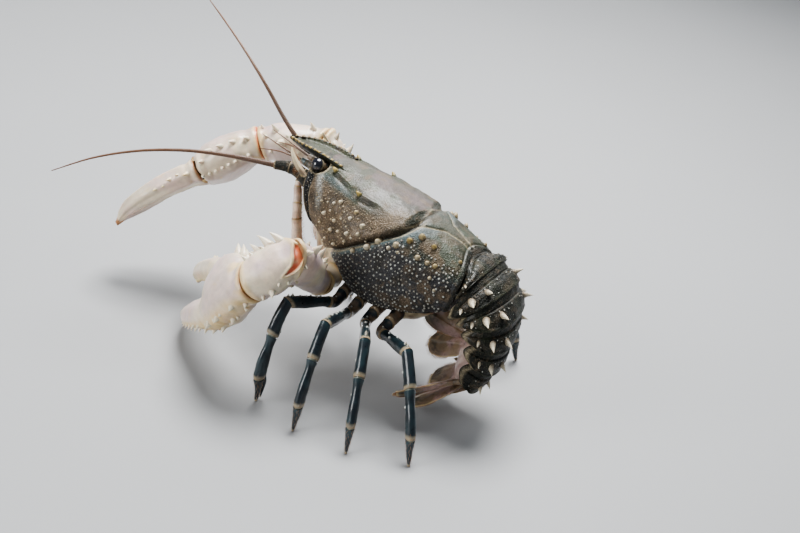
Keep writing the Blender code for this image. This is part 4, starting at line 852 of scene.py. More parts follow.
def granulate(form, tints):
    """Pale granules: dense on the gill cover, sparse and mixed on the cheek, and rows on the border."""
    sets = []
    x, v, r = lattice(0.004, 0.071, 0.36, 0.985, 0.00178, 0.056, 11)
    behind = -groove_distance(x, carapace_outside(x, v)[:, 2])
    thinning = np.maximum(0.03 + 0.5 * ease(0.50 - v, 0, 0.12), 0.55 * ease(0.026 - x, 0, 0.012))
    keep = (behind > 0.0030) & (r > thinning)
    size = (0.00027 + 0.00034 * r[keep]) * (1 - 0.25 * ease(v[keep], 0.8, 1.0))
    sets.append((x[keep], v[keep], size, 0.95, "granule"))
    x, v, r = lattice(0.044, 0.080, 0.38, 0.93, 0.0013, 0.050, 21)
    ahead = groove_distance(x, carapace_outside(x, v)[:, 2])
    keep = (ahead > 0.0022) & (r > 0.30) & (FRONT_X - x > curve(v, BORDER) + 0.0012)
    sets.append((x[keep], v[keep], 0.00015 + 0.00036 * r[keep] ** 3, 0.75, "cream"))
    x, v, r = lattice(FRONT_X - 0.0037, FRONT_X - 0.0007, 0.34, 0.96, 0.0012, 0.046, 31)
    keep = FRONT_X - x < curve(v, BORDER)
    sets.append((x[keep], v[keep], 0.00012 + 0.00020 * r[keep], 0.8, "granule"))
    for x, v, radius, pale, name in sets:
        for side in (1, -1):
            at, way = on_shell(x, v * side)
            tone = (scatter(np.stack([x, v * side], -1) * 1e4, 3)[:, None] * 0.65 + 0.35) * pale
            tip = np.array(getattr(tints, name)) * tone + np.array(tints.shell_brown) * (1 - tone)
            form.stand(GRANULE, at, way, radius * 0.95, radius, tip * 0.4, tip, sides=6)


def knobs(form, tints):
    """The named cream knobs of the cheek and behind the groove, and the spined ridges behind the eyes."""
    for table, height, radius in ((CHEEK_KNOBS, 0.00140, 0.00115), (CERVICAL_KNOBS, 0.0016, 0.00115)):
        x, v, share = np.array(table).T
        for side in (1, -1):
            at, way = on_shell(x, v * side)
            warm = scatter(np.stack([x, v], -1) * 1e4, side) * 0.4 + 0.6 * ease(0.50 - v, 0.0, 0.16)
            warm = warm[:, None]
            tip = np.array(tints.knob) * (1 - warm) + np.array(tints.spine_yellow) * warm * 0.7
            form.stand(KNOB, at, way, height * share**1.3, radius * share**1.3, np.array(tints.shell_brown),
                       tip, lean=world_direction((0.35, 0, 0)), sides=10)
    for front, _, v0, _ in RIDGES:
        for side in (1, -1):
            at, way = on_shell(np.array([front]), np.array([v0 * side]))
            form.stand(KNOB, at, way + world_direction((0.5, 0, 0)), 0.0019, 0.0011, tints.shell_green,
                       tints.spine_yellow, lean=world_direction((0.4, 0, 0)), sides=12)


def rostrum_form(form, tints):
    """The beak: along it half width, thickness and lift, across it raised edges, a hollow and a keel."""
    s = np.linspace(0.0, 1.0, 90)
    angle = turns(64)
    half, thick, lift = (curve(s, knots)[:, None] for knots in (ROSTRUM_HALF, ROSTRUM_THICK, ROSTRUM_RISE))
    y = np.cos(angle)[None]
    upper = np.sin(angle)[None] >= 0
    top = 0.06 + 0.34 * np.abs(y) ** 3 + 0.30 * bell(np.abs(y), 0.84, 0.13) * ease(s[:, None], 0.15, 0.4)
    keel = 0.35 - 1.35 * (1 - np.abs(y) ** 2.2) ** 0.6
    z = np.where(upper, top, keel) * thick + lift
    middle = ROSTRUM_START + (ROSTRUM_TIP - ROSTRUM_START) * s[:, None, None]
    points = middle + np.stack([np.zeros_like(z), y * half, z], -1)
    points = points + grid_normals(points) * (0.00012 * noise(points, 0.0016, 12.0))[..., None]
    colour = mixed(tints.shell_green, tints.shell_dark,
                   ease(noise(points, 0.0030, 13.0), -0.3, 0.5) * ease(s, 0.0, 0.3)[:, None])
    edge = bell(np.abs(y), 0.93, 0.10) * np.where(upper, 0.85, 0.4) * ease(s, 0.22, 0.42)[:, None]
    below = np.where(upper, 0.0, 0.7) * ease(s, 0.2, 0.4)[:, None]
    colour = mixed(colour, tints.shell_black, np.clip(edge * 0.95 + below, 0, 1))
    colour = mixed(colour, tints.shell_black, ease(s, 0.86, 1.0)[:, None] * 0.8)
    form.grid(world(points), colour, 0.5)
    for places, profile, size, wide in ((np.linspace(0.46, 0.88, 5), SPINE, 0.0016, 0.0007),
                                        (np.linspace(0.26, 0.95, 13), KNOB, 0.0010, 0.00070)):
        for side in (1, -1):
            reach = curve(places, ROSTRUM_HALF)
            rise = curve(places, ROSTRUM_RISE) + curve(places, ROSTRUM_THICK) * 0.42
            at = ROSTRUM_START + (ROSTRUM_TIP - ROSTRUM_START) * places[:, None]
            at = at + np.stack([np.zeros_like(places), side * reach * 0.90, rise], -1)
            way = np.broadcast_to((0.70, side * 0.62, 0.42), at.shape)
            form.stand(profile, world(at), world_direction(way), size, wide, tints.shell_brown,
                       tints.spine_yellow, sides=8)


SIDE_POINTS = 104  # of a station of the shield, from the mid line of the back to a margin
RIM_STEPS = ((0.4, 0.0001), (1.0, 0.0008), (1.5, UNDER_RECESS))  # share of the rim's width across, and rise


def carapace_form(tints):
    """The shield: its outside, the turned-in margins and the hollow below, closed in front and behind."""
    form = Form()
    x = np.concatenate([np.linspace(0.0, 0.034, 66), np.linspace(0.0346, FRONT_X, 124)])
    v = np.concatenate([-np.linspace(1, 0, SIDE_POINTS)[:-1], np.linspace(0, 1, SIDE_POINTS)])
    last, rim = len(v), len(RIM_STEPS)
    X, V = np.meshgrid(x, v, indexing="ij")
    flat = carapace_outside(X, V)
    colour = shell_paint(X, V, flat, tints)
    fade = ease(x, 0.0, 0.0015) * (1 - ease(x, FRONT_X - 0.0003, FRONT_X))
    shell = flat + shell_normal(X, V) * (shell_relief(X, V, flat) * (0.3 + 0.7 * fade[:, None]))[..., None]
    rims = []
    for column, side in ((-1, 1), (0, -1)):
        edge = shell[:, column]
        rims.append([edge + np.array([0.0, -side * SHELL_RIM * across, up]) for across, up in RIM_STEPS])
    under = rims[0] + rims[1][::-1]
    whole = np.concatenate([shell, np.stack(under, 1)], 1)
    dull = np.broadcast_to(tints.tan, (len(x), 2 * rim, 3))
    colours = np.concatenate([colour, dull], 1)
    skin = np.concatenate([shell_smoothness(X, V, flat), np.full((len(x), 2 * rim), 0.3)], 1)
    form.grid(world(carve_socket(whole)), colours, skin, caps=False)
    columns = np.linspace(0, 1, 40)[None, :, None]
    right, left = whole[:, :SIDE_POINTS][:, ::-1], whole[:, SIDE_POINTS - 1:last]
    for row, dark in ((0, tints.shell_black), (-1, tints.socket)):
        rims_left, rims_right = whole[row, last:last + rim], whole[row, last + rim:][::-1]
        a = np.concatenate([left[row], rims_left])[:, None]
        b = np.concatenate([right[row], rims_right])[:, None]
        face = a + (b - a) * columns
        tone = mixed(dark, tints.tan, ease(noise(face, 0.004, 14.0), -0.2, 0.6) * (0.7 if row else 0.1))
        form.grid(world(carve_socket(face)), tone, closed=False, caps=False)
    rostrum_form(form, tints)
    knobs(form, tints)
    granulate(form, tints)
    return form


# Abdomen and tail

def way_back(degrees):
    """The direction that many degrees below level, and the one towards the belly across it."""
    a = math.radians(degrees)
    return np.array([-math.cos(a), 0.0, -math.sin(a)]), np.array([math.sin(a), 0.0, -math.cos(a)])


def abdomen_line():
    """Dorsal points of the joints, the ways along and inwards of each length, and the roll at each joint."""
    points, ways, rolls = [np.array([REAR_NOTCH - 0.0003, 0.0, TOP[0][1]])], [], []
    for length, degrees, _, _, roll in SOMITES:
        ways.append(way_back(degrees))
        rolls.append(math.radians(roll))
        points.append(points[-1] + ways[-1][0] * length)
    ways.append(way_back(TELSON_DIRECTION))
    rolls.append(math.radians(TAIL_ROLL))
    return points, ways, rolls


def somite_point(index, t, y, depth):
    """Point of a somite at share t of its length, y to the left of its mid line and depth below its back."""
    points, ways, rolls = abdomen_line()
    t, y, depth = (np.asarray(a, float)[..., None] for a in np.broadcast_arrays(t, y, depth))
    along, inward = ways[index]
    behind, ahead = ways[index + 1][0], ways[max(index - 1, 0)][0]
    roll = rolls[index] + (rolls[index + 1] - rolls[index]) * t
    side = np.array([0.0, 1.0, 0.0])
    c, s = np.cos(roll), np.sin(roll)
    radial = side * (y * c + depth * s) + inward * (depth * c - y * s)
    start, end = unit(ahead + along), unit(along + behind)
    to_start = -(radial @ start)[..., None] / (along @ start)
    to_end = -(radial @ end)[..., None] / (along @ end)
    if index == 0:
        outline_y = np.where(depth < 0.0116, y, SOMITES[0][2])
        front = np.concatenate([REAR_NOTCH * bell(outline_y, 0.0, REAR_NOTCH_HALF) - 0.0003, y,
                                points[0][2] - depth], -1)
        back = points[1] + radial + along * to_end
        return front + (back - front) * t
    point = points[index] + along * (SOMITES[index][0] * t) + radial
    return point + along * (np.clip(1 - t, 0, 1) * to_start + np.clip(t, 0, 1) * to_end)


def arch(half, depth, a):
    """The way out and down of a ring's back at angle a from its mid line."""
    return half * np.sin(a) ** 0.9, 0.62 * depth * (1 - np.cos(a) ** 0.9)


def somite_ring(index, t):
    """The section at t as (y, depth): arched back, hanging side plate and belly."""
    _, _, half, depth, _ = SOMITES[index]
    half = half * (1.0 + 0.035 * math.sin(math.pi * min(t / 0.9, 1.0)))
    depth = depth * (0.80 + 0.20 * math.sin(math.pi * min(t * 1.05, 1.0)) ** 0.7)
    a = np.linspace(0.0, math.pi / 2, 44)
    back = np.column_stack(arch(half, depth, a))
    belly = min(depth * 0.72, 0.0135)
    if index == 0:
        tucked = max(1.0 - 2.0 * t, 0.0)
        u = a * 0.8
        edge_half, widest = HALF_WIDTH[0][1], WIDEST_Z[0][1]
        edge = np.column_stack([edge_half * np.sin(u) ** SHELL_POWER,
                                (TOP[0][1] - widest) * (1 - np.cos(u) ** SHELL_POWER)])
        back += (edge - back) * tucked
        depth += 0.0038 * tucked
        belly += 0.0044 * tucked
    knots = [(0.0, *back[-1]), (0.25, 0.985 * half, 0.84 * depth), (0.42, 0.90 * half, depth),
             (0.56, 0.80 * half, 0.86 * depth),
             (0.72, 0.66 * half, belly), (1.0, 0.0, belly - 0.0006)]
    return np.vstack([back, curve(np.linspace(0.02, 1.0, 36), knots)])


def somite_form(index, tints):
    """One ring of the abdomen: a low front, a step, a domed plate, a thin rim, a belly and its spines."""
    form = Form()
    t = np.linspace(0.0, 1.0, 40)
    half_rings = np.stack([somite_ring(index, s) for s in t])
    ring = np.concatenate([half_rings, (half_rings[:, 1:-1] * np.array([-1.0, 1.0]))[:, ::-1]], 1)
    y, depth = ring[..., 0], ring[..., 1]
    T = np.broadcast_to(t[:, None], y.shape)
    around = np.concatenate([np.linspace(0, 1, 80), np.linspace(1, 0, 80)[1:-1]])[None]
    back = 1 - ease(around, 0.62, 0.72)
    points = world(somite_point(index, T, y, depth))
    normal = grid_normals(points)
    lift = 0.0007 * ease(T, 0.26, 0.36) - 0.0007 + 0.0005 * np.sin(math.pi * ease(T, 0.34, 0.96))
    lift = lift - 0.0003 * ease(T, 0.955, 0.99)
    crease = -0.0005 * bell(T, 0.31, 0.025)
    waves = 0.00025 * noise(points, 0.0042, 15.0 + index) + 0.00012 * noise(points, 0.0016, 16.0)
    fold = -0.0007 * bell(around, 0.535, 0.018) * ease(T, 0.3, 0.5)
    points = points + normal * ((lift + crease + fold + waves) * back)[..., None]
    colour = mixed(tints.shell_black, tints.shell_green, ease(noise(points, 0.0052, 17.0), -0.1, 0.6) * 0.4)
    colour = mixed(colour, tints.shell_brown, ease(noise(points, 0.0034, 18.0), 0.2, 0.6) * 0.25)
    colour = mixed(colour, tints.shell_green, bell(T, 0.965, 0.02) * 0.6 * back)
    colour = mixed(colour, tints.shell_black, (1 - ease(T, 0.24, 0.30)) * 0.7)
    colour = mixed(colour, tints.cream, bell(around, 0.685, 0.022) * 0.55)
    belly = mixed(tints.flesh, tints.tan, ease(noise(points, 0.004, 19.0), -0.1, 0.5))
    colour = mixed(colour, belly, ease(around, 0.72, 0.77))
    form.grid(points, colour)
    _, _, half, full, _ = SOMITES[index]
    along = abdomen_line()[1][index][0]
    for side in (1, -1):
        for share, place, size in SOMITE_SPINES[index]:
            a = share * math.pi / 2
            foot = np.array(arch(half * 1.01, full, a))
            out = np.array([math.sin(a), -math.cos(a)]) * 0.001
            at, tip = (somite_point(index, place, side * p[0], p[1]) for p in (foot, foot + out))
            way = unit(tip - at) + along * 0.15
            form.stand(THORN, world(at), world_direction(way), size * 1.15, size * 0.36, tints.shell_warm,
                       tints.spine_white, lean=world_direction(along * 0.18), sides=12)
        small = np.linspace(0.12, 0.9, 9)
        for row, reach in ((0.46, 0.0006), (0.80, 0.0005)):
            out, down = arch(half * 1.015, full, (small + 0.05 * (row > 0.5)) * math.pi / 2)
            at = somite_point(index, row + 0.05 * np.sin(small * 40), side * out, down)
            way = at - somite_point(index, row, 0.0, full * 0.5)
            form.stand(GRANULE, world(at), world_direction(way), reach * 0.8, reach * 0.7, tints.shell_brown,
                       tints.granule)
    return form


def tail_frame():
    points, ways, rolls = abdomen_line()
    along, inward = ways[6]
    c, s = math.cos(rolls[6]), math.sin(rolls[6])
    side = np.array([0.0, c, 0.0]) - inward * s
    return points[6], along, inward * c + np.array([0.0, s, 0.0]), side


def blade_form(root, direction, flat, length, half_width, outline, thick, cup, tints, ribs, seed):
    """A plate of the fan: two faces that meet in a thin edge along its outline, ribs and a bristle fringe."""
    form = Form()
    direction = unit(direction)
    flat = unit(flat - direction * (flat @ direction))
    face = np.cross(flat, direction)
    s = np.concatenate([np.linspace(0, 0.9, 56), np.linspace(0.91, 1.0, 16)])[:, None]
    a = turns(72)[None]
    y = np.cos(a) * half_width * curve(s[:, 0], outline)[:, None]
    share = y / half_width
    rib = sum(h * bell(share, place * (0.35 + 0.65 * s), 0.05) for place, h in ribs)
    stripes = 0.00010 * np.sin(share * 60 + 2 * s) * ease(s, 0.45, 0.6)
    z = (thick * (1.0 - 0.45 * s) + rib + stripes) * np.sin(a) + cup * share**2
    points = root + direction * (length * s)[..., None] + flat * y[..., None] + face * z[..., None]
    points = world(points)
    points = points + grid_normals(points) * (0.00014 * noise(points, 0.0025, seed))[..., None]
    colour = mixed(tints.fan_olive, tints.shell_brown, ease(noise(points, 0.005, seed), -0.2, 0.5))
    colour = mixed(colour, tints.shell_dark, ease(noise(points, 0.0036, seed + 1), 0.1, 0.6) * 0.6)
    colour = mixed(colour, tints.cream, np.clip(rib / 0.0005, 0, 1) * 0.35)
    veins = ease(np.sin(share * 75 + 3 * s), 0.2, 1.0) * ease(s, 0.45, 0.6)
    colour = mixed(colour, tints.shell_dark, veins * 0.5)
    inner = mixed(tints.flesh, tints.tan, ease(noise(points, 0.004, seed + 2), -0.3, 0.4))
    colour = mixed(colour, inner, ease(np.abs(np.sin(a)), 0.0, 0.25) * (1 - ease(s, 0.45, 0.85)) * 0.8)
    outermost = ease(np.abs(share) / curve(s[:, 0], outline)[:, None], 0.90, 0.98)
    colour = mixed(colour, tints.warm_edge,
                   np.maximum(outermost * ease(s, 0.15, 0.4), ease(s, 0.95, 0.99)) * 0.55)
    form.grid(points, colour)
    edge = np.linspace(0.50, 1.0, 40)
    for side in (1, -1):
        w = side * half_width * curve(edge, outline)
        shares = np.stack([length * edge * 0.996, w * 0.98, cup * (w / half_width) ** 2], -1)
        at = root + shares @ np.stack([direction, flat, face])
        way = direction * 0.8 + flat * (side * 0.9 * (1.2 - ease(edge, 0.8, 1.0)))[:, None]
        hair = 0.0016 + 0.0006 * scatter(np.stack([edge * 99, edge * 37], -1), seed)
        form.bristles(world(at), world_direction(way), hair, 0.00009, tints)
    across = np.linspace(-0.34, 0.34, 22) * half_width
    at = root + direction * (length * 0.998) + flat * across[:, None]
    form.bristles(world(at), world_direction(direction + flat * (across / half_width)[:, None]), 0.0020,
                  0.00009, tints)
    return form


def telson_form(tints):
    """The plate in the middle of the fan, with a small thorn at each side."""
    base, along, inward, across = tail_frame()
    root = base + inward * 0.0026 + along * TELSON_INSIDE
    form = blade_form(root, along, across, TELSON_LENGTH - TELSON_INSIDE, 0.0098, TELSON_OUTLINE, 0.0012,
                      0.0016, tints,
                      ((-0.55, 0.0004), (0.55, 0.0004)), 31.0)
    for side in (1, -1):
        at = root + along * (TELSON_LENGTH * 0.50) + across * side * 0.0086 + inward * 0.0012
        way = world_direction(along + across * side * 0.4)
        form.stand(THORN, world(at), way, 0.0018, 0.0007, tints.fan_olive, tints.spine_yellow, sides=10)
    return form


def cushion_form(tints):
    """The pink flesh below the root of the fan: a flat ball, dented by noise."""
    base, along, inward, across = tail_frame()
    points, _ = ball(40, 60, along * 0.0062, across * 0.0125, inward * 0.0042)
    points = world(points + base + inward * 0.0082 + along * 0.0036)
    points = points + grid_normals(points) * (0.0008 * noise(points, 0.0034, 80.0))[..., None]
    form = Form()
    patches = ease(noise(points, 0.0026, 81.0), -0.4, 0.4)
    form.grid(points, mixed(tints.flesh, tints.membrane_pale, patches), caps=False)
    return form


def fin_form(side, fin, tints):
    """One fin of the fan on its stalk, which starts at the last ring's end plane."""
    kind, out, deep, behind, outwards, inwards, turn, length, half = fin
    base, along, inward, across = tail_frame()
    joint = unit(abdomen_line()[1][5][0] + along)
    c = math.radians(turn)
    direction = along * math.sqrt(1 - outwards**2 - inwards**2) + across * side * outwards + inward * inwards
    flat = across * side * math.cos(c) + inward * math.sin(c)
    root = base + across * side * out + inward * deep + along * behind
    form = blade_form(root, direction, flat * side, length, half, FIN_OUTLINE, 0.0010, 0.0008, tints,
                      ((0.0, 0.0005),), 33.0 + out)
    out, deep = STALK_STARTS[kind]
    start = base + across * side * out + inward * deep
    start = start + along * (((base - start) @ joint) / (along @ joint))
    path = [world(p) for p in (start, (start + root) / 2, root, root + direction * STALK_INSIDE)]
    stalk = Tube(path, STALK_HALVES, world_direction(flat), start=world_direction(joint))
    t, angle = stalk.sheet(24, 28)
    points = stalk.at(t, angle)
    form.grid(points, mixed(tints.fan_olive, tints.shell_brown, ease(noise(points, 0.002, 35.0), -0.2, 0.5)))
    return form


# Claw arms

# Spines of the claw arms: place along, degrees round from the thumb's side or the bend, length
MERUS_SPINES = (
    (0.30, 180, 0.0020), (0.45, 178, 0.0029), (0.60, 182, 0.0037), (0.75, 172, 0.0044), (0.70, 20, 0.0026),
    (0.50, 15, 0.0022), (0.90, 150, 0.0030), (0.93, 110, 0.0026), (0.20, 190, 0.0012), (0.52, 165, 0.0011),
    (0.36, 195, 0.0010), (0.82, 195, 0.0013), (0.60, 30, 0.0012), (0.80, 60, 0.0012),
)
CARPUS_SPINES = {
    "left": (
        (0.33, 336, 0.0062), (0.15, 324, 0.0058), (0.58, 340, 0.0040), (0.65, 196, 0.0036),
        (0.86, 322, 0.0028), (0.46, 352, 0.0019), (0.70, 318, 0.0014), (0.50, 205, 0.0016),
        (0.82, 190, 0.0018), (0.45, 318, 0.0012), (0.75, 350, 0.0020), (0.35, 190, 0.0013),
    ),
    "right": (
        (0.62, 0, 0.0056), (0.36, 8, 0.0062), (0.70, 40, 0.0042), (0.20, 60, 0.0036), (0.80, 180, 0.0040),
        (0.52, 20, 0.0018), (0.86, 20, 0.0022), (0.82, 335, 0.0018), (0.45, 330, 0.0015), (0.60, 190, 0.0017),
        (0.30, 330, 0.0013), (0.90, 60, 0.0017),
    ),
}
INNER_SPINES = {
    "left": ((0.24, 350, 0.0042), (0.38, 347, 0.0048), (0.52, 343, 0.0045), (0.70, 352, 0.0036),
             (0.86, 8, 0.0032)),
    "right": ((0.14, 338, 0.0026), (0.32, 337, 0.0032), (0.50, 336, 0.0032), (0.68, 334, 0.0031),
              (0.86, 350, 0.0027)),
}
OUTER_SPINES = (
    (0.12, 176, 0.001440), (0.25, 194, 0.001872), (0.40, 168, 0.002160), (0.52, 194, 0.002232),
    (0.66, 168, 0.002448), (0.80, 192, 0.002448), (0.94, 170, 0.002376),
)


def limb_relief(tube, t, angle, seed):
    """Places on a claw arm's segment and their relief: dents, and at each end a rim with a hollow."""
    points = tube.at(t, angle)
    relief = 0.00050 * noise(points, 0.007, seed) + 0.00015 * noise(points, 0.0026, seed + 1)
    edge = 0.0011 / tube.length
    for place in (t, 1 - t):
        relief = relief + 0.0005 * bell(place, 1.3 * edge, edge * 0.9)
        relief = relief - 0.0004 * bell(place, 4 * edge, edge * 1.4)
        relief = relief - 0.0006 * (1 - ease(place, 0.0, edge * 0.7))
    return points, relief


def ivory_paint(points, tints, seed):
    colour = mixed(tints.ivory, tints.ivory_pink, ease(noise(points, 0.011, seed), -0.3, 0.5))
    return mixed(colour, tints.warm_edge, ease(noise(points, 0.0045, seed + 2), 0.45, 0.8) * 0.25)


def segment_form(tube, tints, seed, rows=90, sides=84, window=None):
    """A segment of the arm: ivory tube with yellow rims, and an optional window of red membrane.

    The window follows a line on the surface: a place is in it where its distance to the line is under the
    line's half width there.
    """
    form = Form()
    t, angle = tube.sheet(rows, sides)
    points, relief = limb_relief(tube, t, angle, seed)
    colour = ivory_paint(points, tints, seed)
    # Painted shade: lilac laid into the dents of the relief, from the same noise that sinks them
    colour = mixed(colour, tints.lilac, ease(-noise(points, 0.007, seed), -0.1, 0.6) * 0.7)
    edge = 0.0014 / tube.length
    rim = np.maximum(1 - ease(t, edge, edge * 2.2), ease(t, 1 - edge * 2.2, 1 - edge))
    colour = mixed(colour, tints.warm_edge, rim * 0.75)
    near_rims = np.maximum(bell(t, 0.0, 0.14), bell(t, 1.0, 0.14))
    colour = mixed(colour, tints.warm_edge, ease(noise(points, 0.0038, seed + 5), 0.1, 0.6) * near_rims * 0.6)
    ends = np.maximum(1 - ease(t, 0.0, edge * 0.7), ease(t, 1 - edge * 0.5, 1))
    colour = mixed(colour, tints.rust, ends * 0.8)
    if window:
        knots = np.column_stack([np.linspace(0, 1, len(window)), window])
        line = curve(np.linspace(0, 1, 60), knots)
        around = tube.halves.mean()
        off = np.hypot((t[..., None] - line[:, 0]) * tube.length,
                       (angle[..., None] - np.radians(line[:, 1])) * around)
        off = (off - line[:, 2]).min(-1)
        inside = 1 - ease(off, -0.0003, 0.0001)
        lip = bell(off, 0.0005, 0.0004)
        relief = relief - 0.0011 * inside + 0.0004 * lip
        colour = mixed(colour, tints.membrane,
                       inside * (0.8 + 0.2 * np.clip(noise(points, 0.002, seed), -1, 1)))
        colour = mixed(colour, tints.warm_edge, lip * 0.6)
    normal = tube.normal(t, angle)
    form.grid(points + normal * relief[..., None], colour)
    return form


# The crescent's middle line: place along, degrees round, half width
WINDOW = (
    (0.070, 280.0, -0.0002), (0.062, 254.0, 0.0015), (0.080, 234.0, 0.0018), (0.150, 219.0, 0.0016),
    (0.270, 215.0, 0.0009), (0.388, 216.0, -0.0002),
)


def hand_point(hand_frame, along, across, up=0.0):
    wrist, hand, thumb = hand_frame
    along, across, up = (np.asarray(a, float)[..., None] for a in (along, across, up))
    return wrist + hand * along + thumb * across + np.cross(hand, thumb) * up


def palm_sizes(length):
    """Along the hand: (place, outer margin, inner margin, half depth, middle's height)."""
    p = PALM_LENGTH
    return (
        (0.0, -0.0082, 0.0082, 0.0074, 0.0), (0.25 * p, -0.0126, 0.0122, 0.0090, -0.0010),
        (0.55 * p, -0.0166, 0.0154, 0.0102, -0.0018), (0.82 * p, -0.0172, 0.0150, 0.0097, -0.0021),
        (p - 0.0004, -0.0168, 0.0128, 0.0080, -0.0022), (p + 0.0006, -0.0167, 0.0090, 0.0076, -0.0023),
        (p + 0.0020, -0.0166, 0.0014, 0.0068, -0.0026), (0.46 * length, -0.0158, -0.0010, 0.0058, -0.0034),
        (0.66 * length, -0.0133, -0.0023, 0.0046, -0.0040),
        (0.86 * length, -0.0082, -0.0012, 0.0032, -0.0027), (1.0 * length, -0.0012, 0.0004, 0.0008, 0.0),
    )


def palm_at(hand_frame, length, plane, up_sign, a, angle):
    """Surface of palm and fixed finger: a squared ellipse between the margins, cut to the wrist's plane."""
    low, high, deep, rise = np.moveaxis(curve(a, palm_sizes(length)), -1, 0)
    c, s = np.cos(angle), np.sin(angle)
    c, s = np.sign(c) * np.abs(c) ** 0.86, np.sign(s) * np.abs(s) ** 0.86
    across = (high + low) / 2 + (high - low) / 2 * c
    up = rise * up_sign + deep * s * up_sign
    point = hand_point(hand_frame, a, across, up)
    radial = point - hand_point(hand_frame, a, 0.0)
    wrist, hand, _ = hand_frame
    slide = -(radial @ plane)[..., None] / (hand @ plane) * np.clip(1 - a / 0.012, 0, 1)[..., None]
    return point + hand * slide


def teeth_row(form, points, ways, sizes, radii, tints, lean, profile=THORN):
    form.stand(profile, points, ways, sizes, radii, tints.ivory, tints.spine_white, lean=lean, sides=10)


def palm_form(word, hand_frame, length, plane, tints):
    """The palm with its fixed finger, spined inner margin, saw-toothed outer margin and blunt gape teeth."""
    form = Form()
    side = SIDES[word]
    up_sign = 1.0 if side > 0 else -1.0
    p = PALM_LENGTH
    a = np.concatenate([np.linspace(0, p - 0.001, 74), np.linspace(p - 0.0008, p + 0.0024, 26),
                        np.linspace(p + 0.003, length, 84)])
    A, angle = np.meshgrid(a, turns(104), indexing="ij")
    points = palm_at(hand_frame, length, plane, up_sign, A, angle)
    normal = grid_normals(points)
    seed = 40.0 + side
    relief = 0.00050 * noise(points, 0.008, seed) + 0.00016 * noise(points, 0.0026, seed + 1)
    ridge = 0.00028 if side < 0 else 0.00012
    relief += ridge * np.cos(8 * angle) * ease(A, 0.004, 0.012) * (1 - ease(A, length * 0.8, length))
    relief += 0.0005 * bell(A, 0.0014, 0.0010) - 0.0006 * bell(A, 0.0044, 0.0016)
    outer = bell(np.cos(angle), -1.0, 0.16)
    relief += outer * 0.00045 * np.abs(np.sin(A / 0.0026 * math.pi)) * ease(A, 0.006, 0.014)
    points = points + normal * relief[..., None]
    colour = ivory_paint(points, tints, seed)
    patch = ease(np.abs(np.sin(angle)), 0.3, 0.8) * ease(noise(points, 0.012, seed + 4), -0.7, 0.2)
    colour = mixed(colour, tints.lilac, patch * 0.55)
    colour = mixed(colour, tints.warm_edge,
                   outer * (0.5 + 0.4 * ease(noise(points, 0.003, seed + 6), -0.3, 0.4)))
    colour = mixed(colour, tints.warm_edge, bell(A, 0.0006, 0.0010) * 0.8)
    colour = mixed(colour, tints.warm_edge,
                   ease(noise(points, 0.0042, seed + 8), 0.15, 0.6) * bell(A, 0.004, 0.004) * 0.8)
    colour = mixed(colour, tints.rust if side > 0 else tints.membrane, bell(A, 0.0, 0.0007) * 0.8)
    shelf = bell(A, p + 0.0008, 0.0009) * ease(np.cos(angle), -0.2, 0.4)
    colour = mixed(colour, tints.rust, shelf * 0.85)
    colour = mixed(colour, tints.horn_tip, ease(A / length, 0.93, 0.975))
    form.grid(points, colour)
    hand = hand_frame[1]

    def margin(places, degrees, up_shift=0.0):
        angles = np.radians(degrees)
        at = palm_at(hand_frame, length, plane, up_sign, places, angles)
        middle = palm_at(hand_frame, length, plane, up_sign, places, angles + math.pi)
        return at, unit(at - middle) + np.cross(hand, hand_frame[2]) * up_shift

    place, degrees, size = np.array(INNER_SPINES[word]).T
    at, way = margin(place * p, degrees)
    teeth_row(form, at, way + hand * 0.15, size, size * 0.27 + 0.0005, tints, hand * 0.20)
    small = np.linspace(0.2, 0.95, 8) * p
    at, way = margin(small, 24.0)
    teeth_row(form, at, way, 0.0013 + 0.0004 * np.sin(small * 4000), 0.0009, tints, hand * 0.2)
    place, degrees, size = np.array(OUTER_SPINES).T
    at, way = margin(place * p, degrees)
    teeth_row(form, at, way + hand * 0.15, size, size * 0.36 + 0.0005, tints, hand * 0.30)
    saw = np.linspace(0.44, 0.88, 13) * length
    size = np.linspace(0.0025, 0.0011, 13)
    at, way = margin(saw, 180 + 9 * np.where(np.arange(len(saw)) % 2, 1, -1))
    teeth_row(form, at, way + hand * 0.15, size, size * 0.44, tints, hand * 0.35)
    between = np.linspace(0.18, 1.0, 11) * p
    at, way = margin(between, 180 + 16 * np.where(np.arange(11) % 2, 1, -1))
    teeth_row(form, at, way + hand * 0.15, 0.0009, 0.0008, tints, hand * 0.30)
    gape = np.linspace(0.48, 0.92, 15)
    at, way = margin(gape * length, 0.0)
    molar = 0.0011 * (1.0 - 0.5 * gape) * (1 + 0.5 * np.sin(gape * 37))
    teeth_row(form, at, way, molar, molar * 0.95, tints, hand * 0.0, KNOB)
    return form


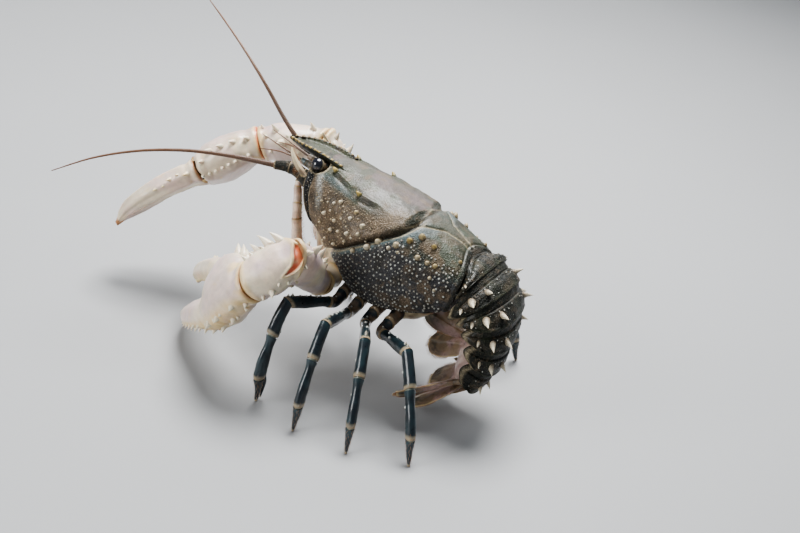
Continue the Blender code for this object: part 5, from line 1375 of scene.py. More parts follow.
def finger_form(word, hand_frame, length, tints):
    """The second finger: a bowed horn with blunt gape teeth, spines outside, a hinge and a brown tip."""
    form = Form()
    side = SIDES[word]
    ventral = 1.0 if side > 0 else -1.0
    start = PALM_LENGTH + 0.0003
    opened = math.tan(FINGER_OPEN[word])
    reach = length - start
    path = [hand_point(hand_frame, start + a * reach, c + a * reach * opened, u * ventral)
            for a, c, u in FINGER_LINE]
    tube = Tube(path, FINGER_HALVES, hand_frame[2], start=hand_frame[1])
    t, angle = tube.sheet(110, 72)
    seed = 50.0 + side
    points = tube.at(t, angle)
    relief = 0.00022 * noise(points, 0.006, seed) + 0.0001 * noise(points, 0.002, seed + 1)
    ridge = 0.00030 if side < 0 else 0.00018
    relief += ridge * np.cos(6 * angle + 0.6) * ease(t, 0.04, 0.2) * (1 - ease(t, 0.75, 1.0))
    relief += 0.0006 * bell(t, 0.03, 0.022) - 0.0004 * bell(t, 0.09, 0.03)
    colour = ivory_paint(points, tints, seed)
    colour = mixed(colour, tints.warm_edge, bell(np.cos(angle), -1.0, 0.35) * 0.5)
    colour = mixed(colour, tints.rust, (1 - ease(t, 0.006, 0.03)) * 0.85)
    colour = mixed(colour, tints.horn_tip, ease(t, 0.925, 0.97))
    form.grid(points + tube.normal(t, angle) * relief[..., None], colour)
    spikes = ((0.10, 0, 0.0028), (0.26, 6, 0.0022), (0.42, 354, 0.0017), (0.18, 12, 0.0011),
              (0.34, 350, 0.0010))
    tube.spines(form, spikes, tints.ivory, tints.warm_edge, 0.5)
    bumps = [(0.10 + 0.055 * i, 180, 0.0007 + 0.0003 * math.sin(i * 1.9)) for i in range(15)]
    tube.spines(form, bumps, tints.ivory, tints.warm_edge, 0.0, KNOB, 9, 1.0, 0.0)
    hinge = hand_point(hand_frame, start - 0.0004, 0.0082, np.array([1, -1]) * 0.0054 - 0.0021 * ventral)
    out = np.cross(hand_frame[1], hand_frame[2]) * np.array([[1.0], [-1.0]])
    form.stand(KNOB, hinge, out, 0.0016, 0.0017, tints.warm_edge, tints.rust, sides=12)
    return form


# Legs and other jointed limbs

def arm_forms(word, tints):
    """The names and forms of one claw arm's five parts, from the body to the finger."""
    side = SIDES[word]
    coxa, base, elbow, wrist, tip = (world(p) for p in ARMS[word])
    thumb = world_direction(THUMB_SIDES[word])
    upper, fore, hand = unit(elbow - base), unit(wrist - elbow), unit(tip - wrist)
    hip, bend, palm_plane = unit(unit(base - coxa) + upper), unit(upper + fore), unit(fore + hand)
    ischium = Tube([coxa, (coxa + base) / 2 + np.array([0.0, 0.0, -0.0010]), base],
                   [(0.0058, 0.0052), (0.0060, 0.0052), (0.0056, 0.0050)], (1, 0, 0),
                   start=(0.0, float(side), 0.0), end=hip)
    yield "ischium", segment_form(ischium, tints, 41.0, 50, 60)
    reach = np.linalg.norm(elbow - base)
    merus = Tube([base, base + upper * reach * 0.35, base + upper * reach * 0.72, elbow],
                 [(0.0054, 0.0048), (0.0076, 0.0058), (0.0096, 0.0068), (0.0078, 0.0064)],
                 unit(np.cross(unit(np.cross(upper, fore)), upper)), start=hip, end=bend)
    form = segment_form(merus, tints, 42.0 + side)
    merus.spines(form, MERUS_SPINES, tints.ivory, tints.spine_white)
    yield "merus", form
    reach = np.linalg.norm(wrist - elbow)
    carpus = Tube([elbow, elbow + fore * reach * 0.4, elbow + fore * reach * 0.75, wrist],
                  [(0.0080, 0.0068), (0.0102, 0.0086), (0.0104, 0.0092), (0.0082, 0.0076)],
                  thumb, start=bend, end=palm_plane)
    form = segment_form(carpus, tints, 44.0 + side, 130, 180, window=WINDOW if side > 0 else None)
    carpus.spines(form, CARPUS_SPINES[word], tints.ivory, tints.spine_white, 0.3)
    yield "carpus", form
    hand_frame = (wrist, hand, unit(thumb - hand * (thumb @ hand)))
    length = np.linalg.norm(tip - wrist)
    yield "palm", palm_form(word, hand_frame, length, palm_plane, tints)
    yield "finger", finger_form(word, hand_frame, length, tints)


# Walking legs

def sleeves(form, tube, cuts, paint, core, seed, sides=22, flare=0.10, rows_per=18, neck=0.008):
    """Shell sleeves between the cuts of a limb, each with flared ends, over a core of joint skin."""
    t, angle = tube.sheet(60, sides)
    form.grid(tube.at(t, angle, 0.80), core)
    for low, high in zip(cuts[:-1], cuts[1:]):
        inner_low = low + (neck if low > 0 else 0.0)
        inner_high = high - (neck if high < 1 else 0.0)
        t, angle = tube.sheet(rows_per, sides, inner_low, inner_high)
        share = (t - inner_low) / (inner_high - inner_low)
        swell = 1 + flare * ease(share, 0.72, 0.95) * (high < 1) - 0.06 * ease(share, 0.95, 1.0)
        swell = swell + 0.05 * (1 - ease(share, 0.0, 0.12)) * (low > 0)
        points = tube.at(t, angle, swell)
        points = points + tube.normal(t, angle) * (0.00009 * noise(points, 0.0018, seed))[..., None]
        colour = paint(points, t, angle, share)
        form.grid(points, colour)


def knee_of(root, foot, upper, lower):
    """Where two lengths from root and foot meet, above the line between them."""
    line = foot - root
    reach = np.linalg.norm(line)
    along = (upper**2 - lower**2 + reach**2) / (2 * reach)
    height = math.sqrt(max(upper**2 - along**2, 0.0))
    way = line / reach
    up = unit(np.array([0.0, 0.0, 1.0]) - way * way[2])
    return root + way * along + up * height


def leg_paint(tints, pale=0.0):
    """Dark lengths with cream rims. Up to the place `pale` the leg is mottled tan and olive instead."""
    def paint(points, t, angle, share):
        colour = mixed(tints.leg_dark, tints.leg_teal, ease(noise(points, 0.003, 61.0), -0.1, 0.6) * 0.6)
        colour = mixed(colour, tints.tan,
                       (1 - ease(t, pale - 0.01, pale)) * ease(noise(points, 0.0022, 64.0), -0.5, 0.3) * 0.6)
        colour = mixed(colour, tints.cream, ease(share, 0.90, 0.96) * 0.7)
        colour = mixed(colour, tints.leg_teal, (1 - ease(share, 0.03, 0.10)) * 0.8)
        return mixed(colour, tints.rust, ease(share, 0.98, 1.0) * 0.35)
    return paint


def leg_forms(word, index, tints):
    side = SIDES[word]
    root_x = LEG_ROOT_X[index]
    place = FEET[word][index]
    coxa = world((root_x, 0.0124 * side, -0.0012))
    hip = world((root_x + 0.0006, 0.0225 * side, -0.0075))
    foot = np.array([place[0] + BODY_AT[0], place[1] * side + BODY_AT[1], 0.0])
    knee = knee_of(hip, foot, LEG_UPPER, LEG_LOWER)
    rise, fall = unit(knee - hip), unit(foot - knee)
    swing = unit(np.cross(rise, fall))
    joint = unit(rise + fall)
    h, k = LEG_HALF_HEIGHT, LEG_HALF_THICK
    upper = Tube([coxa, (coxa + hip) / 2, hip, hip + (knee - hip) * 0.22, hip + (knee - hip) * 0.62, knee],
                 [(h * 1.15, k * 1.4), (h * 1.0, k * 1.25), (h * 0.92, k * 1.15), (h * 0.80, k * 0.95),
                  (h * 0.98, k * 1.05), (h * 0.92, k * 1.15)],
                 (0.0, 0.0, 1.0), start=(0.0, float(side), 0.0), end=joint)
    high, low = Form(), Form()
    paint = leg_paint(tints)
    sleeves(high, upper, (0.0, 0.17, 0.40, 1.0), leg_paint(tints, 0.40), tints.joint_skin, 62.0)
    count = 5 if index < 2 else 2
    dots = [(0.52 + 0.34 / count * i, 8 * (-1) ** i, 0.00060 - 0.00004 * i) for i in range(count)]
    dots += [(0.28, -8, 0.0004), (0.60, 55, 0.0005)]
    upper.spines(high, dots, tints.granule, tints.granule, 0.1, GRANULE, 8, 1.0, 0.00005)
    upper.spines(high, ((0.90, 0, 0.0015), (0.955, 0, 0.0012)), tints.leg_teal, tints.spine_white, 0.3)

    drop = foot - knee
    out = unit(np.array([drop[0], drop[1], 0.0]))
    bow = out * 0.0030
    pinch = 1.25 if index < 2 else 1.0
    bends = ((0.0, 0.0), (0.14, 0.7), (0.30, 1.0), (0.36, 1.0), (0.60, 1.1), (0.76, 0.8), (0.86, 0.4))
    path = [knee + drop * down + bow * outward for down, outward in bends]
    path.append(foot + np.array([0.0, 0.0, 0.0002]))
    shares = ((0.92, 1.15), (0.98, 1.15), (0.96, 1.10), (0.78, 0.95), (0.90 * pinch, 1.0),
              (0.74 * pinch, 0.85), (0.50, 0.62), (0.22, 0.28))
    lower = Tube(path, [(h * high_share, k * wide_share) for high_share, wide_share in shares],
                 -unit(np.cross(swing, fall)), start=joint, end=np.array([0.0, 0.0, -1.0]))
    sleeves(low, lower, (0.0, 0.335, 0.765, 1.0), paint, tints.joint_skin, 63.0)
    dots = [(0.10 + 0.08 * i, 176 + 10 * (-1) ** i, 0.0006) for i in range(3)]
    dots += [(0.42 + 0.075 * i, 180 - 8 * (-1) ** i, 0.00055 - 0.00004 * i) for i in range(5)]
    dots += [(0.16, 118, 0.0006), (0.26, 240, 0.0006), (0.48, 125, 0.0006), (0.62, 235, 0.0005)]
    lower.spines(low, dots, tints.granule, tints.granule, 0.1, GRANULE, 8, 1.0, 0.00005)
    lower.spines(low, ((0.22, 180, 0.0012), (0.55, 180, 0.0009)), tints.leg_teal, tints.spine_white, 0.3)
    t = np.tile(np.linspace(0.70, 0.965, 16), 6)
    spread = np.radians(np.repeat(np.arange(6) * 60 + 20, 16) + 17 * np.sin(t * 90))
    low.bristles(lower.at(t, spread), lower.normal(t, spread) * 0.6 + lower.tangent(t), 0.0011, 0.00007,
                 tints)
    if index < 2:
        path = [knee + drop * 0.66 + bow * 0.9, knee + drop * 0.80 + bow * 0.6 - out * 0.0030,
                foot - out * 0.0022 + np.array([0.0, 0.0, 0.0014])]
        second = Tube(path, [(0.0014, 0.0012), (0.0011, 0.0010), (0.0003, 0.0003)], out)
        t, angle = second.sheet(26, 16)
        points = second.at(t, angle)
        low.grid(points, mixed(paint(points, t, angle, t * 0.8 + 0.1), tints.cream, ease(t, 0.9, 1.0) * 0.6))
    return high, low


# Head

def front_x(z):
    return FRONT_X - FRONT_FALL * ((0.0404 - z) / FRONT_DEPTH) ** 2


def side_set(path, side):
    return [world(np.asarray(p, float) * np.array([1, side, 1])) for p in path]


def on_face(y, z):
    return (front_x(z), y, z)


def eye_form(side, tints):
    """A globe on a short stalk: its front is a dark cornea, and the rest and the stalk are grey and cream."""
    form = Form()
    out = unit(np.array([0.0021, side * 0.0030, 0.0003]))
    socket = EYE_AT * np.array([1, side, 1])
    at = world(socket + out * 0.0012)
    way = unit(world_direction(out))
    beside = unit(np.cross(way, (0.0, 0.0, 1.0)))
    points, polar = ball(34, 44, way, beside, np.cross(way, beside))
    radius = EYE_RADIUS * (1 + 0.03 * np.sin(polar))
    form.grid(at + points * radius[..., None], mixed(tints.eye_dark, tints.socket, ease(polar, 1.72, 1.90)),
              1.0, caps=False)
    stalk = Tube([world(socket - out * (SOCKET_RADIUS - 0.0007)), world(socket - out * 0.001), at],
                 [(0.0014, 0.0014), (0.0019, 0.0019), (0.0024, 0.0024)], (0, 0, 1))
    t, angle = stalk.sheet(20, 30)
    points = stalk.at(t, angle)
    form.grid(points, mixed(tints.tan, tints.shell_blue, ease(noise(points, 0.001, 70.0), -0.2, 0.5)))
    return form


def ringed_whip(form, tube, t0, t1, tints, rings, sides=12):
    """A feeler's whip: its radius and colour swing once for each ring."""
    t, angle = tube.sheet(rings * 5, sides, t0, t1)
    phase = np.cos((t - t0) / (t1 - t0) * rings * 2 * math.pi)
    colour = mixed(tints.feeler, tints.feeler_dark,
                   ease(phase, -0.6, 0.6) * 0.6 + 0.4 * (1 - ease(t, 0.1, 0.6)))
    form.grid(tube.at(t, angle, 1 - 0.10 * ease(phase, 0.2, 1.0)), colour)


def stem_paint(base, other, tints):
    def paint(points, t, angle, share):
        colour = mixed(base, other, ease(noise(points, 0.0018, 71.0), -0.1, 0.6) * 0.6)
        colour = mixed(colour, tints.rust, ease(noise(points, 0.0034, 79.0), 0.1, 0.6) * 0.35)
        colour = mixed(colour, tints.cream, ease(share, 0.88, 0.94) * 0.6)
        return mixed(colour, tints.rust, ease(share, 0.96, 1.0) * 0.7)
    return paint


def antennule_form(side, tints):
    form = Form()
    stem = Tube(side_set([on_face(0.0030, 0.0318), (0.0900, 0.0030, 0.0320), (0.0945, 0.0032, 0.0322)], side),
                [(0.0018, 0.0016), (0.0017, 0.0015), (0.0013, 0.0012)], (0, 0, 1))
    sleeves(form, stem, (0.0, 0.4, 0.72, 1.0), stem_paint(tints.shell_blue, tints.tan, tints),
            tints.joint_skin, 72.0, 18, 0.12, 12, 0.02)
    for spread, rise, reach in ((0.0010, 0.0014, 0.0215), (0.0034, -0.0042, 0.0190)):
        whip = side_set([(0.0930, 0.0033, 0.0322),
                         (0.0945 + reach * 0.5, 0.0034 + spread * 0.5, 0.0326 + rise * 0.3),
                         (0.0945 + reach, 0.0034 + spread, 0.0322 + rise)], side)
        ringed_whip(form, Tube(whip, [(0.0006, 0.0006), (0.0004, 0.0004), (0.00015, 0.00015)], (0, 0, 1)),
                    0.0, 1.0, tints, 26, 8)
    return form


def antenna_stem(side):
    return side_set([on_face(0.0104, 0.0282), (0.0890, 0.0104, 0.0302), (0.0950, 0.0112, 0.0304),
                     (0.1012, 0.0132, 0.0284)], side)


def antenna_base_form(side, tints):
    form = Form()
    tube = Tube(antenna_stem(side), [(0.0030, 0.0030), (0.0030, 0.0029), (0.0026, 0.0026), (0.0019, 0.0019)],
                (0, 0, 1))
    sleeves(form, tube, (0.0, 0.30, 0.62, 1.0), stem_paint(tints.shell_black, tints.shell_brown, tints),
            tints.joint_skin, 73.0, 26, 0.12, 20, 0.010)
    tube.spines(form, ((0.22, 300 * side, 0.0016), (0.55, 60 * side, 0.0011), (0.25, 200, 0.0011)),
                tints.shell_blue, tints.spine_yellow)
    return form


def antenna_scale_form(side, tints):
    """The leaf beside the feeler: a flat tube with a midrib, a spined tip and a fringe on its inner edge."""
    form = Form()
    leaf = Tube(side_set([on_face(0.0138, 0.0322), (0.0895, 0.0148, 0.0348), (0.0935, 0.0146, 0.0378),
                          (0.0965, 0.0134, 0.0405)], side),
                [(0.0011, 0.0008), (0.0014, 0.0009), (0.0011, 0.0008),
                 (0.0003, 0.0003)], world_direction((0, side * 0.7, -0.5)))
    t, angle = leaf.sheet(50, 40)
    points = leaf.at(t, angle)
    rib = 0.00030 * bell(np.cos(angle), 0.1, 0.16) * (1 - ease(t, 0.8, 1.0))
    colour = mixed(tints.cream, tints.shell_warm, ease(noise(points, 0.002, 74.0), -0.2, 0.5))
    colour = mixed(colour, tints.shell_green, ease(np.abs(np.cos(angle)), 0.93, 1.0) * 0.7)
    form.grid(points + leaf.normal(t, angle) * rib[..., None], colour)
    t = np.linspace(0.25, 0.95, 34)
    at = leaf.at(t, np.full(34, math.pi))
    form.bristles(at, leaf.normal(t, np.full(34, math.pi)) + leaf.tangent(t) * 0.7, 0.0018, 0.00008, tints)
    return form


def whip_tube(word):
    stem = antenna_stem(SIDES[word])
    halves = [(0.0013, 0.0013), (0.0010, 0.0010), (0.0008, 0.0008), (0.0006, 0.0006), (0.00045, 0.00045),
              (0.0002, 0.0002)]
    return Tube([stem[-1], *(world(p) for p in WHIPS[word])], halves, (0, 0, 1), start=stem[-1] - stem[-2])


def mouth_leg_form(side, tints):
    """The outermost mouth leg: five tan lengths folded up in front of the mouth, bearded on the inside."""
    form = Form()
    path = side_set([(0.0735, 0.0082, -0.0048), (0.0782, 0.0090, -0.0020), (0.0832, 0.0094, 0.0080),
                     (0.0872, 0.0086, 0.0180),
                     (0.0902, 0.0066, 0.0232), (0.0916, 0.0046, 0.0262)], side)
    halves = [(0.0026, 0.0020), (0.0030, 0.0022), (0.0028, 0.0020), (0.0024, 0.0017), (0.0018, 0.0014),
              (0.0005, 0.0005)]
    tube = Tube(path, halves, world_direction((0, 1, 0)))
    paint = stem_paint(tints.mouth_pink, tints.membrane_pale, tints)
    sleeves(form, tube, (0.0, 0.14, 0.50, 0.68, 0.86, 1.0), paint, tints.warm_edge, 75.0, 26, 0.10, 22, 0.006)
    t = np.tile(np.linspace(0.10, 0.98, 60), 3)
    inner = 180.0 if side > 0 else 0.0
    spread = np.radians(np.repeat([inner - 28, inner, inner + 28], 60) + 9 * np.sin(t * 120))
    form.bristles(tube.at(t, spread), tube.normal(t, spread) + tube.tangent(t) * 0.5, 0.0019, 0.00008, tints)
    return form


def breast_form(tints):
    """The breast plate, ridged across at each pair of legs. Stations are (x, half width, lowest z)."""
    form = Form()
    stations = ((0.0100, 0.0070, 0.0030), (0.0170, 0.0115, -0.0050), (0.0300, 0.0120, -0.0068),
                (0.0430, 0.0120, -0.0068),
                (0.0600, 0.0120, -0.0068), (0.0700, 0.0085, -0.0030), (0.0745, 0.0060, 0.0030))
    x = np.linspace(stations[0][0], stations[-1][0], 110)
    half, low = np.moveaxis(curve(x, stations), -1, 0)
    angle = np.linspace(-math.pi / 2, math.pi / 2, 60)
    y = half[:, None] * np.sin(angle)
    ceiling = curve(x / CARAPACE, MARGIN_Z)[:, None] + UNDER_RECESS - 0.0008
    z = ceiling + (low[:, None] - ceiling) * np.cos(angle) ** 0.45
    between_legs = LEG_ROOT_X[0] - LEG_ROOT_X[1]
    ridge = 0.0006 * np.cos((x[:, None] - LEG_ROOT_X[0]) / between_legs * 2 * math.pi) * np.cos(angle)
    ridge = ridge - 0.0008 * bell(y, 0.0, 0.0012)
    z = z - ridge * ease(x[:, None], 0.014, 0.02)
    points = world(np.stack([np.broadcast_to(x[:, None], y.shape), y, z], -1))
    lid = world(np.stack([x, np.zeros_like(x), ceiling[:, 0]], -1))[:, None]
    colour = mixed(tints.tan, tints.cream, ease(noise(points, 0.004, 76.0), -0.2, 0.5))
    colour = mixed(colour, tints.shell_brown, ease(noise(points, 0.0026, 77.0), 0.2, 0.6) * 0.5)
    form.grid(np.concatenate([points, lid], 1), np.concatenate([colour, colour[:, :1]], 1))
    return form


def swimmeret_form(index, side, tints):
    """A swimming leg: a stem and two bristly leaves that hang from the belly."""
    form = Form()
    _, _, half, depth, _ = SOMITES[index]
    root = somite_point(index, 0.55, side * half * 0.46, min(depth * 0.72, 0.0135) - 0.001)
    along, inward = abdomen_line()[1][index]
    for lean, spread, length in ((0.55, 0.30, 0.0085), (0.30, -0.12, 0.0100)):
        tip = root + inward * length * 0.9 + np.array([0.0, side * spread * length, 0.0])
        tip = tip - along * length * lean * 0.4
        bend = (root + tip) / 2 + inward * 0.0008
        leaf = Tube([world(root), world(bend), world(tip)],
                    [(0.0008, 0.0006), (0.0017, 0.0004), (0.0004, 0.0002)], world_direction((0, 1, 0)))
        t, angle = leaf.sheet(24, 18)
        points = leaf.at(t, angle)
        form.grid(points, mixed(tints.flesh, tints.tan, ease(noise(points, 0.002, 78.0), -0.2, 0.5)))
        t = np.tile(np.linspace(0.35, 0.98, 18), 2)
        angle = np.repeat([0.0, math.pi], 18)
        form.bristles(leaf.at(t, angle), leaf.normal(t, angle) * 0.7 + leaf.tangent(t), 0.0016, 0.00007,
                      tints)
    return form


# Studio

AIR_COLOUR = (0.80, 0.86, 0.94, 1.0)
AIR_STRENGTH = 0.26
LIT_PLACE = (0.0, 0.0, 0.05)
# Lights: name, place, width, which power it takes and its share of it
LIGHTS = (
    ("key", (0.08, -0.26, 0.86), 0.50, "key_power", 1.0),
    ("fill", (0.55, 0.85, 0.45), 0.60, "fill_power", 1.0),
    ("back", (0.20, -0.80, 0.55), 0.70, "fill_power", 0.35),
)
FLOOR_POINTS = 60  # along each side
FLOOR_DROP = 0.0001
# The view in the body frame: its right-hand way, the way back to the camera, and the place it looks at
VIEW_RIGHT = (-0.814, -0.46, 0.354)
VIEW_BACK = (-0.262, 0.836, 0.483)
VIEW_TARGET = (0.0287, 0.0174, 0.0216)


def add_floor(context, size):
    s = np.linspace(-0.5, 0.5, FLOOR_POINTS)
    X, Y = np.meshgrid(s, s, indexing="ij")
    points = np.stack([X, Y, np.zeros_like(X)], -1).reshape(-1, 3) * size - np.array([0.0, 0.0, FLOOR_DROP])
    index = np.arange(FLOOR_POINTS**2).reshape(FLOOR_POINTS, FLOOR_POINTS)
    quads = np.stack([index[:-1, :-1], index[1:, :-1], index[1:, 1:], index[:-1, 1:]], -1).reshape(-1, 4)
    mesh = bpy.data.meshes.new("studio_floor")
    mesh.from_pydata(points.tolist(), [], quads.tolist())
    mesh.materials.append(finish("floor", context))
    floor = bpy.data.objects.new("studio_floor", mesh)
    context.scene.collection.objects.link(floor)


def add_camera(context, lens, distance):
    back = unit(world_direction(VIEW_BACK))
    right = world_direction(VIEW_RIGHT)
    right = unit(right - back * (right @ back))
    axes = np.column_stack([right, np.cross(back, right), back])
    place = world(VIEW_TARGET) + back * distance
    camera = bpy.data.objects.new("camera", bpy.data.cameras.new("camera"))
    camera.data.lens = lens
    camera.data.clip_start = 0.01
    camera.matrix_world = Matrix([(*row, at) for row, at in zip(axes.tolist(), place)] + [(0, 0, 0, 1)])
    context.scene.collection.objects.link(camera)
    context.scene.camera = camera


# The add-on: sizes, colours and operators

def tint(name, colour, text):
    return FloatVectorProperty(name=name, description=text, default=colour, subtype="COLOR", min=0.0, max=1.0,
                               size=3)


class CrayfishTints(bpy.types.PropertyGroup):
    """Colours of the shell, claws, legs and soft parts"""

    shell_black: tint("Shell black", (0.012, 0.014, 0.010), "Grooves, lobes and abdomen")
    shell_dark: tint("Shell dark", (0.026, 0.022, 0.015), "Dark mottling")
    shell_brown: tint("Shell brown", (0.145, 0.105, 0.066), "Cheek and rusty mottling")
    shell_warm: tint("Shell warm", (0.220, 0.165, 0.110), "Light brown patches")
    shell_grey: tint("Shell grey", (0.094, 0.089, 0.073), "Back, cool part")
    shell_violet: tint("Shell violet", (0.128, 0.098, 0.090), "Back, warm part")
    shell_blue: tint("Shell blue", (0.105, 0.140, 0.140), "Band behind the groove")
    shell_green: tint("Shell green", (0.060, 0.068, 0.038), "Olive of the back")
    shell_navy: tint("Shell navy", (0.010, 0.014, 0.018), "Front border")
    gill_cover: tint("Gill cover", (0.056, 0.056, 0.059), "Ground colour of the gill covers")
    pale_band: tint("Pale band", (0.380, 0.390, 0.360), "Band beside the front border")
    granule: tint("Granule", (0.560, 0.570, 0.520), "Small pale granules")
    knob: tint("Knob", (0.720, 0.660, 0.520), "Large knobs of the head")
    cream: tint("Cream", (0.560, 0.470, 0.310), "Pale lines and small knobs")
    spine_yellow: tint("Spine yellow", (0.600, 0.440, 0.140), "Tips of the head's spines")
    spine_white: tint("Spine white", (0.860, 0.780, 0.600), "Tips of the larger spines")
    rust: tint("Rust", (0.300, 0.120, 0.035), "Joint lines and bristle roots")
    ivory: tint("Ivory", (0.740, 0.640, 0.490), "Claws")
    ivory_pink: tint("Pink ivory", (0.720, 0.570, 0.490), "Claws, warm patches")
    # Lilac: the palms' cool patches, and painted shade in the dents of the claw arms
    lilac: tint("Lilac", (0.600, 0.480, 0.490), "Claws, cool patches")
    blush: tint("Blush", (0.930, 0.800, 0.790), "Soft tint over the claws")
    warm_edge: tint("Warm edge", (0.780, 0.600, 0.300), "Claw rims and teeth")
    horn_tip: tint("Horn tip", (0.420, 0.180, 0.050), "Finger tips")
    membrane: tint("Membrane", (0.720, 0.120, 0.040), "Bare joint skin of the claw arms")
    membrane_pale: tint("Pale membrane", (0.640, 0.500, 0.440), "Soft skin of groove, mouth legs and tail")
    mouth_pink: tint("Mouth pink", (0.800, 0.640, 0.520), "Mouth legs")
    joint_skin: tint("Joint skin", (0.260, 0.280, 0.220), "Joint skin of legs and feelers")
    leg_dark: tint("Leg dark", (0.007, 0.014, 0.019), "Legs")
    leg_teal: tint("Leg teal", (0.018, 0.044, 0.052), "Legs, lighter")
    fan_olive: tint("Fan olive", (0.250, 0.190, 0.125), "Tail fan")
    flesh: tint("Flesh", (0.500, 0.340, 0.310), "Belly and the root of the tail fan")
    tan: tint("Tan", (0.360, 0.250, 0.160), "Underside of the body")
    socket: tint("Socket", (0.250, 0.215, 0.150), "Eye stalks and sockets")
    eye_dark: tint("Eye", (0.008, 0.009, 0.016), "Eyes")
    feeler: tint("Feeler", (0.200, 0.095, 0.045), "Long feelers")
    feeler_dark: tint("Feeler dark", (0.060, 0.035, 0.025), "Rings of the feelers")
    floor: tint("Floor", (0.340, 0.345, 0.350), "Studio floor")


class CrayfishStudio(bpy.types.PropertyGroup):
    """Camera and light of the studio"""

    lens: FloatProperty(name="Lens", description="Camera's focal length", default=64.0, min=20.0,
                        unit="CAMERA")
    distance: FloatProperty(name="Distance", description="Camera to the middle of the view", default=0.6,
                            min=0.2, unit="LENGTH")
    key_power: FloatProperty(name="Key light", description="Power of the soft light overhead", default=18.0,
                             min=0.0, unit="POWER")
    fill_power: FloatProperty(name="Fill light", description="Power of the light beside the camera",
                              default=8.0, min=0.0, unit="POWER")
    floor_size: FloatProperty(name="Floor", description="Width of the studio floor", default=6.0, min=1.0,
                              unit="LENGTH")


class Dress:
    """What the operators share"""

    bl_options = {"REGISTER"}

    def execute(self, context):
        self.dress(context, context.scene.crayfish_tints)
        return {"FINISHED"}


class CRAYFISH_OT_carapace(Dress, bpy.types.Operator):
    """Make the shield with its beak, grooves, knobs and granules"""

    bl_idname = "crayfish.carapace"
    bl_label = "Carapace"

    def dress(self, context, tints):
        carapace_form(tints).build("shield", "shell", context, "carapace")


class CRAYFISH_OT_underside(Dress, bpy.types.Operator):
    """Make the breast plate and the swimming legs"""

    bl_idname = "crayfish.underside"
    bl_label = "Underside"

    def dress(self, context, tints):
        breast_form(tints).build("breast", "mouth", context, "thorax_underside")
        for index in range(1, 5):
            for word, side in SIDES.items():
                swimmeret_form(index, side, tints).build(f"swimmeret_{word}_{index + 1}", "mouth", context)


class CRAYFISH_OT_abdomen(Dress, bpy.types.Operator):
    """Make the six rings of the abdomen with their spines"""

    bl_idname = "crayfish.abdomen"
    bl_label = "Abdomen"

    def dress(self, context, tints):
        for index in range(len(SOMITES)):
            somite_form(index, tints).build(f"ring_{index + 1}", "shell", context, f"abdomen_{index + 1}")


class CRAYFISH_OT_tail_fan(Dress, bpy.types.Operator):
    """Make the telson and the four fins beside it"""

    bl_idname = "crayfish.tail_fan"
    bl_label = "Tail fan"

    def dress(self, context, tints):
        telson_form(tints).build("telson_plate", "fan", context, "telson")
        cushion_form(tints).build("tail_cushion", "mouth", context)
        for word, side in SIDES.items():
            for fin in FINS:
                fin_form(side, fin, tints).build(f"fin_{word}_{fin[0]}", "fan", context,
                                                 f"uropod_{word}_{fin[0]}")


class CRAYFISH_OT_claws(Dress, bpy.types.Operator):
    """Make both claw arms: ischium, merus, carpus, palm and finger"""

    bl_idname = "crayfish.claws"
    bl_label = "Claws"

    def dress(self, context, tints):
        for word in SIDES:
            for part, form in arm_forms(word, tints):
                form.build(f"{part}_{word}", "ivory", context, f"claw_{word}_{part}")


class CRAYFISH_OT_legs(Dress, bpy.types.Operator):
    """Make the eight walking legs"""

    bl_idname = "crayfish.legs"
    bl_label = "Walking legs"

    def dress(self, context, tints):
        for word in SIDES:
            for index in range(4):
                for form, part in zip(leg_forms(word, index, tints), ("upper", "lower")):
                    form.build(f"walker_{word}_{index + 2}_{part}", "leg", context,
                               f"leg_{word}_{index + 2}_{part}")


class CRAYFISH_OT_head(Dress, bpy.types.Operator):
    """Make the eyes, small and long feelers, their scales and the mouth legs"""

    bl_idname = "crayfish.head"
    bl_label = "Head"

    def dress(self, context, tints):
        for word, side in SIDES.items():
            eye_form(side, tints).build(f"globe_{word}", "eye", context, f"eye_{word}")
            antennule_form(side, tints).build(f"small_feeler_{word}", "feeler", context, f"antennule_{word}")
            antenna_base_form(side, tints).build(f"feeler_stem_{word}", "shell", context,
                                                 f"antenna_base_{word}")
            antenna_scale_form(side, tints).build(f"scale_{word}", "mouth", context, f"antenna_scale_{word}")
            mouth_leg_form(side, tints).build(f"mouth_limb_{word}", "mouth", context, f"mouth_leg_{word}")
            tube = whip_tube(word)
            for part, (t0, t1) in enumerate(((0.0, 0.45), (0.45, 1.0))):
                form = Form()
                ringed_whip(form, tube, t0, t1, tints, 60)
                form.build(f"whip_{word}_{part + 1}", "feeler", context, f"antenna_{word}_{part + 1}")


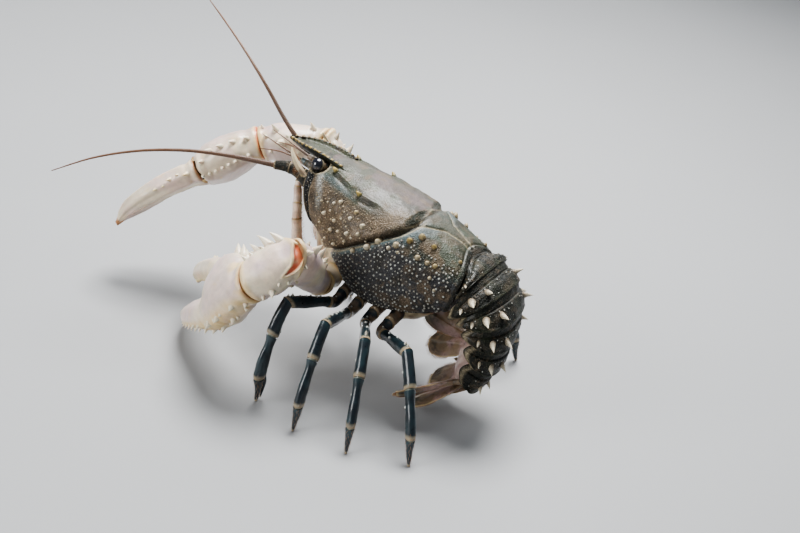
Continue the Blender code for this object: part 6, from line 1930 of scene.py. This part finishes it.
class CRAYFISH_OT_stage(Dress, bpy.types.Operator):
    """Make the floor, the soft lights and the camera"""

    bl_idname = "crayfish.stage"
    bl_label = "Studio"

    def dress(self, context, tints):
        studio = context.scene.crayfish_studio
        add_floor(context, studio.floor_size)
        air = bpy.data.worlds.new("studio_air")
        air.use_nodes = True
        air.node_tree.nodes["Background"].inputs["Color"].default_value = AIR_COLOUR
        air.node_tree.nodes["Background"].inputs["Strength"].default_value = AIR_STRENGTH
        context.scene.world = air
        for name, place, size, power, share in LIGHTS:
            data = bpy.data.lights.new(name, "AREA")
            data.shape, data.size, data.energy = "DISK", size, getattr(studio, power) * share
            light = bpy.data.objects.new(name, data)
            light.location = place
            light.rotation_euler = (Vector(LIT_PLACE) - light.location).to_track_quat("-Z", "Y").to_euler()
            context.scene.collection.objects.link(light)
        add_camera(context, studio.lens, studio.distance)
        context.scene.view_settings.look = "AgX - Medium High Contrast"


OPERATORS = (
    CRAYFISH_OT_carapace, CRAYFISH_OT_underside, CRAYFISH_OT_abdomen, CRAYFISH_OT_tail_fan,
    CRAYFISH_OT_claws, CRAYFISH_OT_legs, CRAYFISH_OT_head, CRAYFISH_OT_stage,
)


class CRAYFISH_PT_panel(bpy.types.Panel):
    """Lists the crayfish's operators"""

    bl_label = "Murray Crayfish"
    bl_idname = "CRAYFISH_PT_panel"
    bl_space_type = "VIEW_3D"
    bl_region_type = "UI"
    bl_category = "Crayfish"

    def draw(self, context):
        for operator in OPERATORS:
            self.layout.operator(operator.bl_idname)


CLASSES = (CrayfishTints, CrayfishStudio, *OPERATORS, CRAYFISH_PT_panel)


def register():
    for cls in CLASSES:
        bpy.utils.register_class(cls)
    bpy.types.Scene.crayfish_tints = PointerProperty(type=CrayfishTints)
    bpy.types.Scene.crayfish_studio = PointerProperty(type=CrayfishStudio)


def unregister():
    del bpy.types.Scene.crayfish_tints
    del bpy.types.Scene.crayfish_studio
    for cls in reversed(CLASSES):
        bpy.utils.unregister_class(cls)


def main():
    """Registers the add-on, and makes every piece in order."""
    register()
    for operator in OPERATORS:
        category, name = operator.bl_idname.split(".")
        getattr(getattr(bpy.ops, category), name)()


if __name__ == "__main__":
    main()
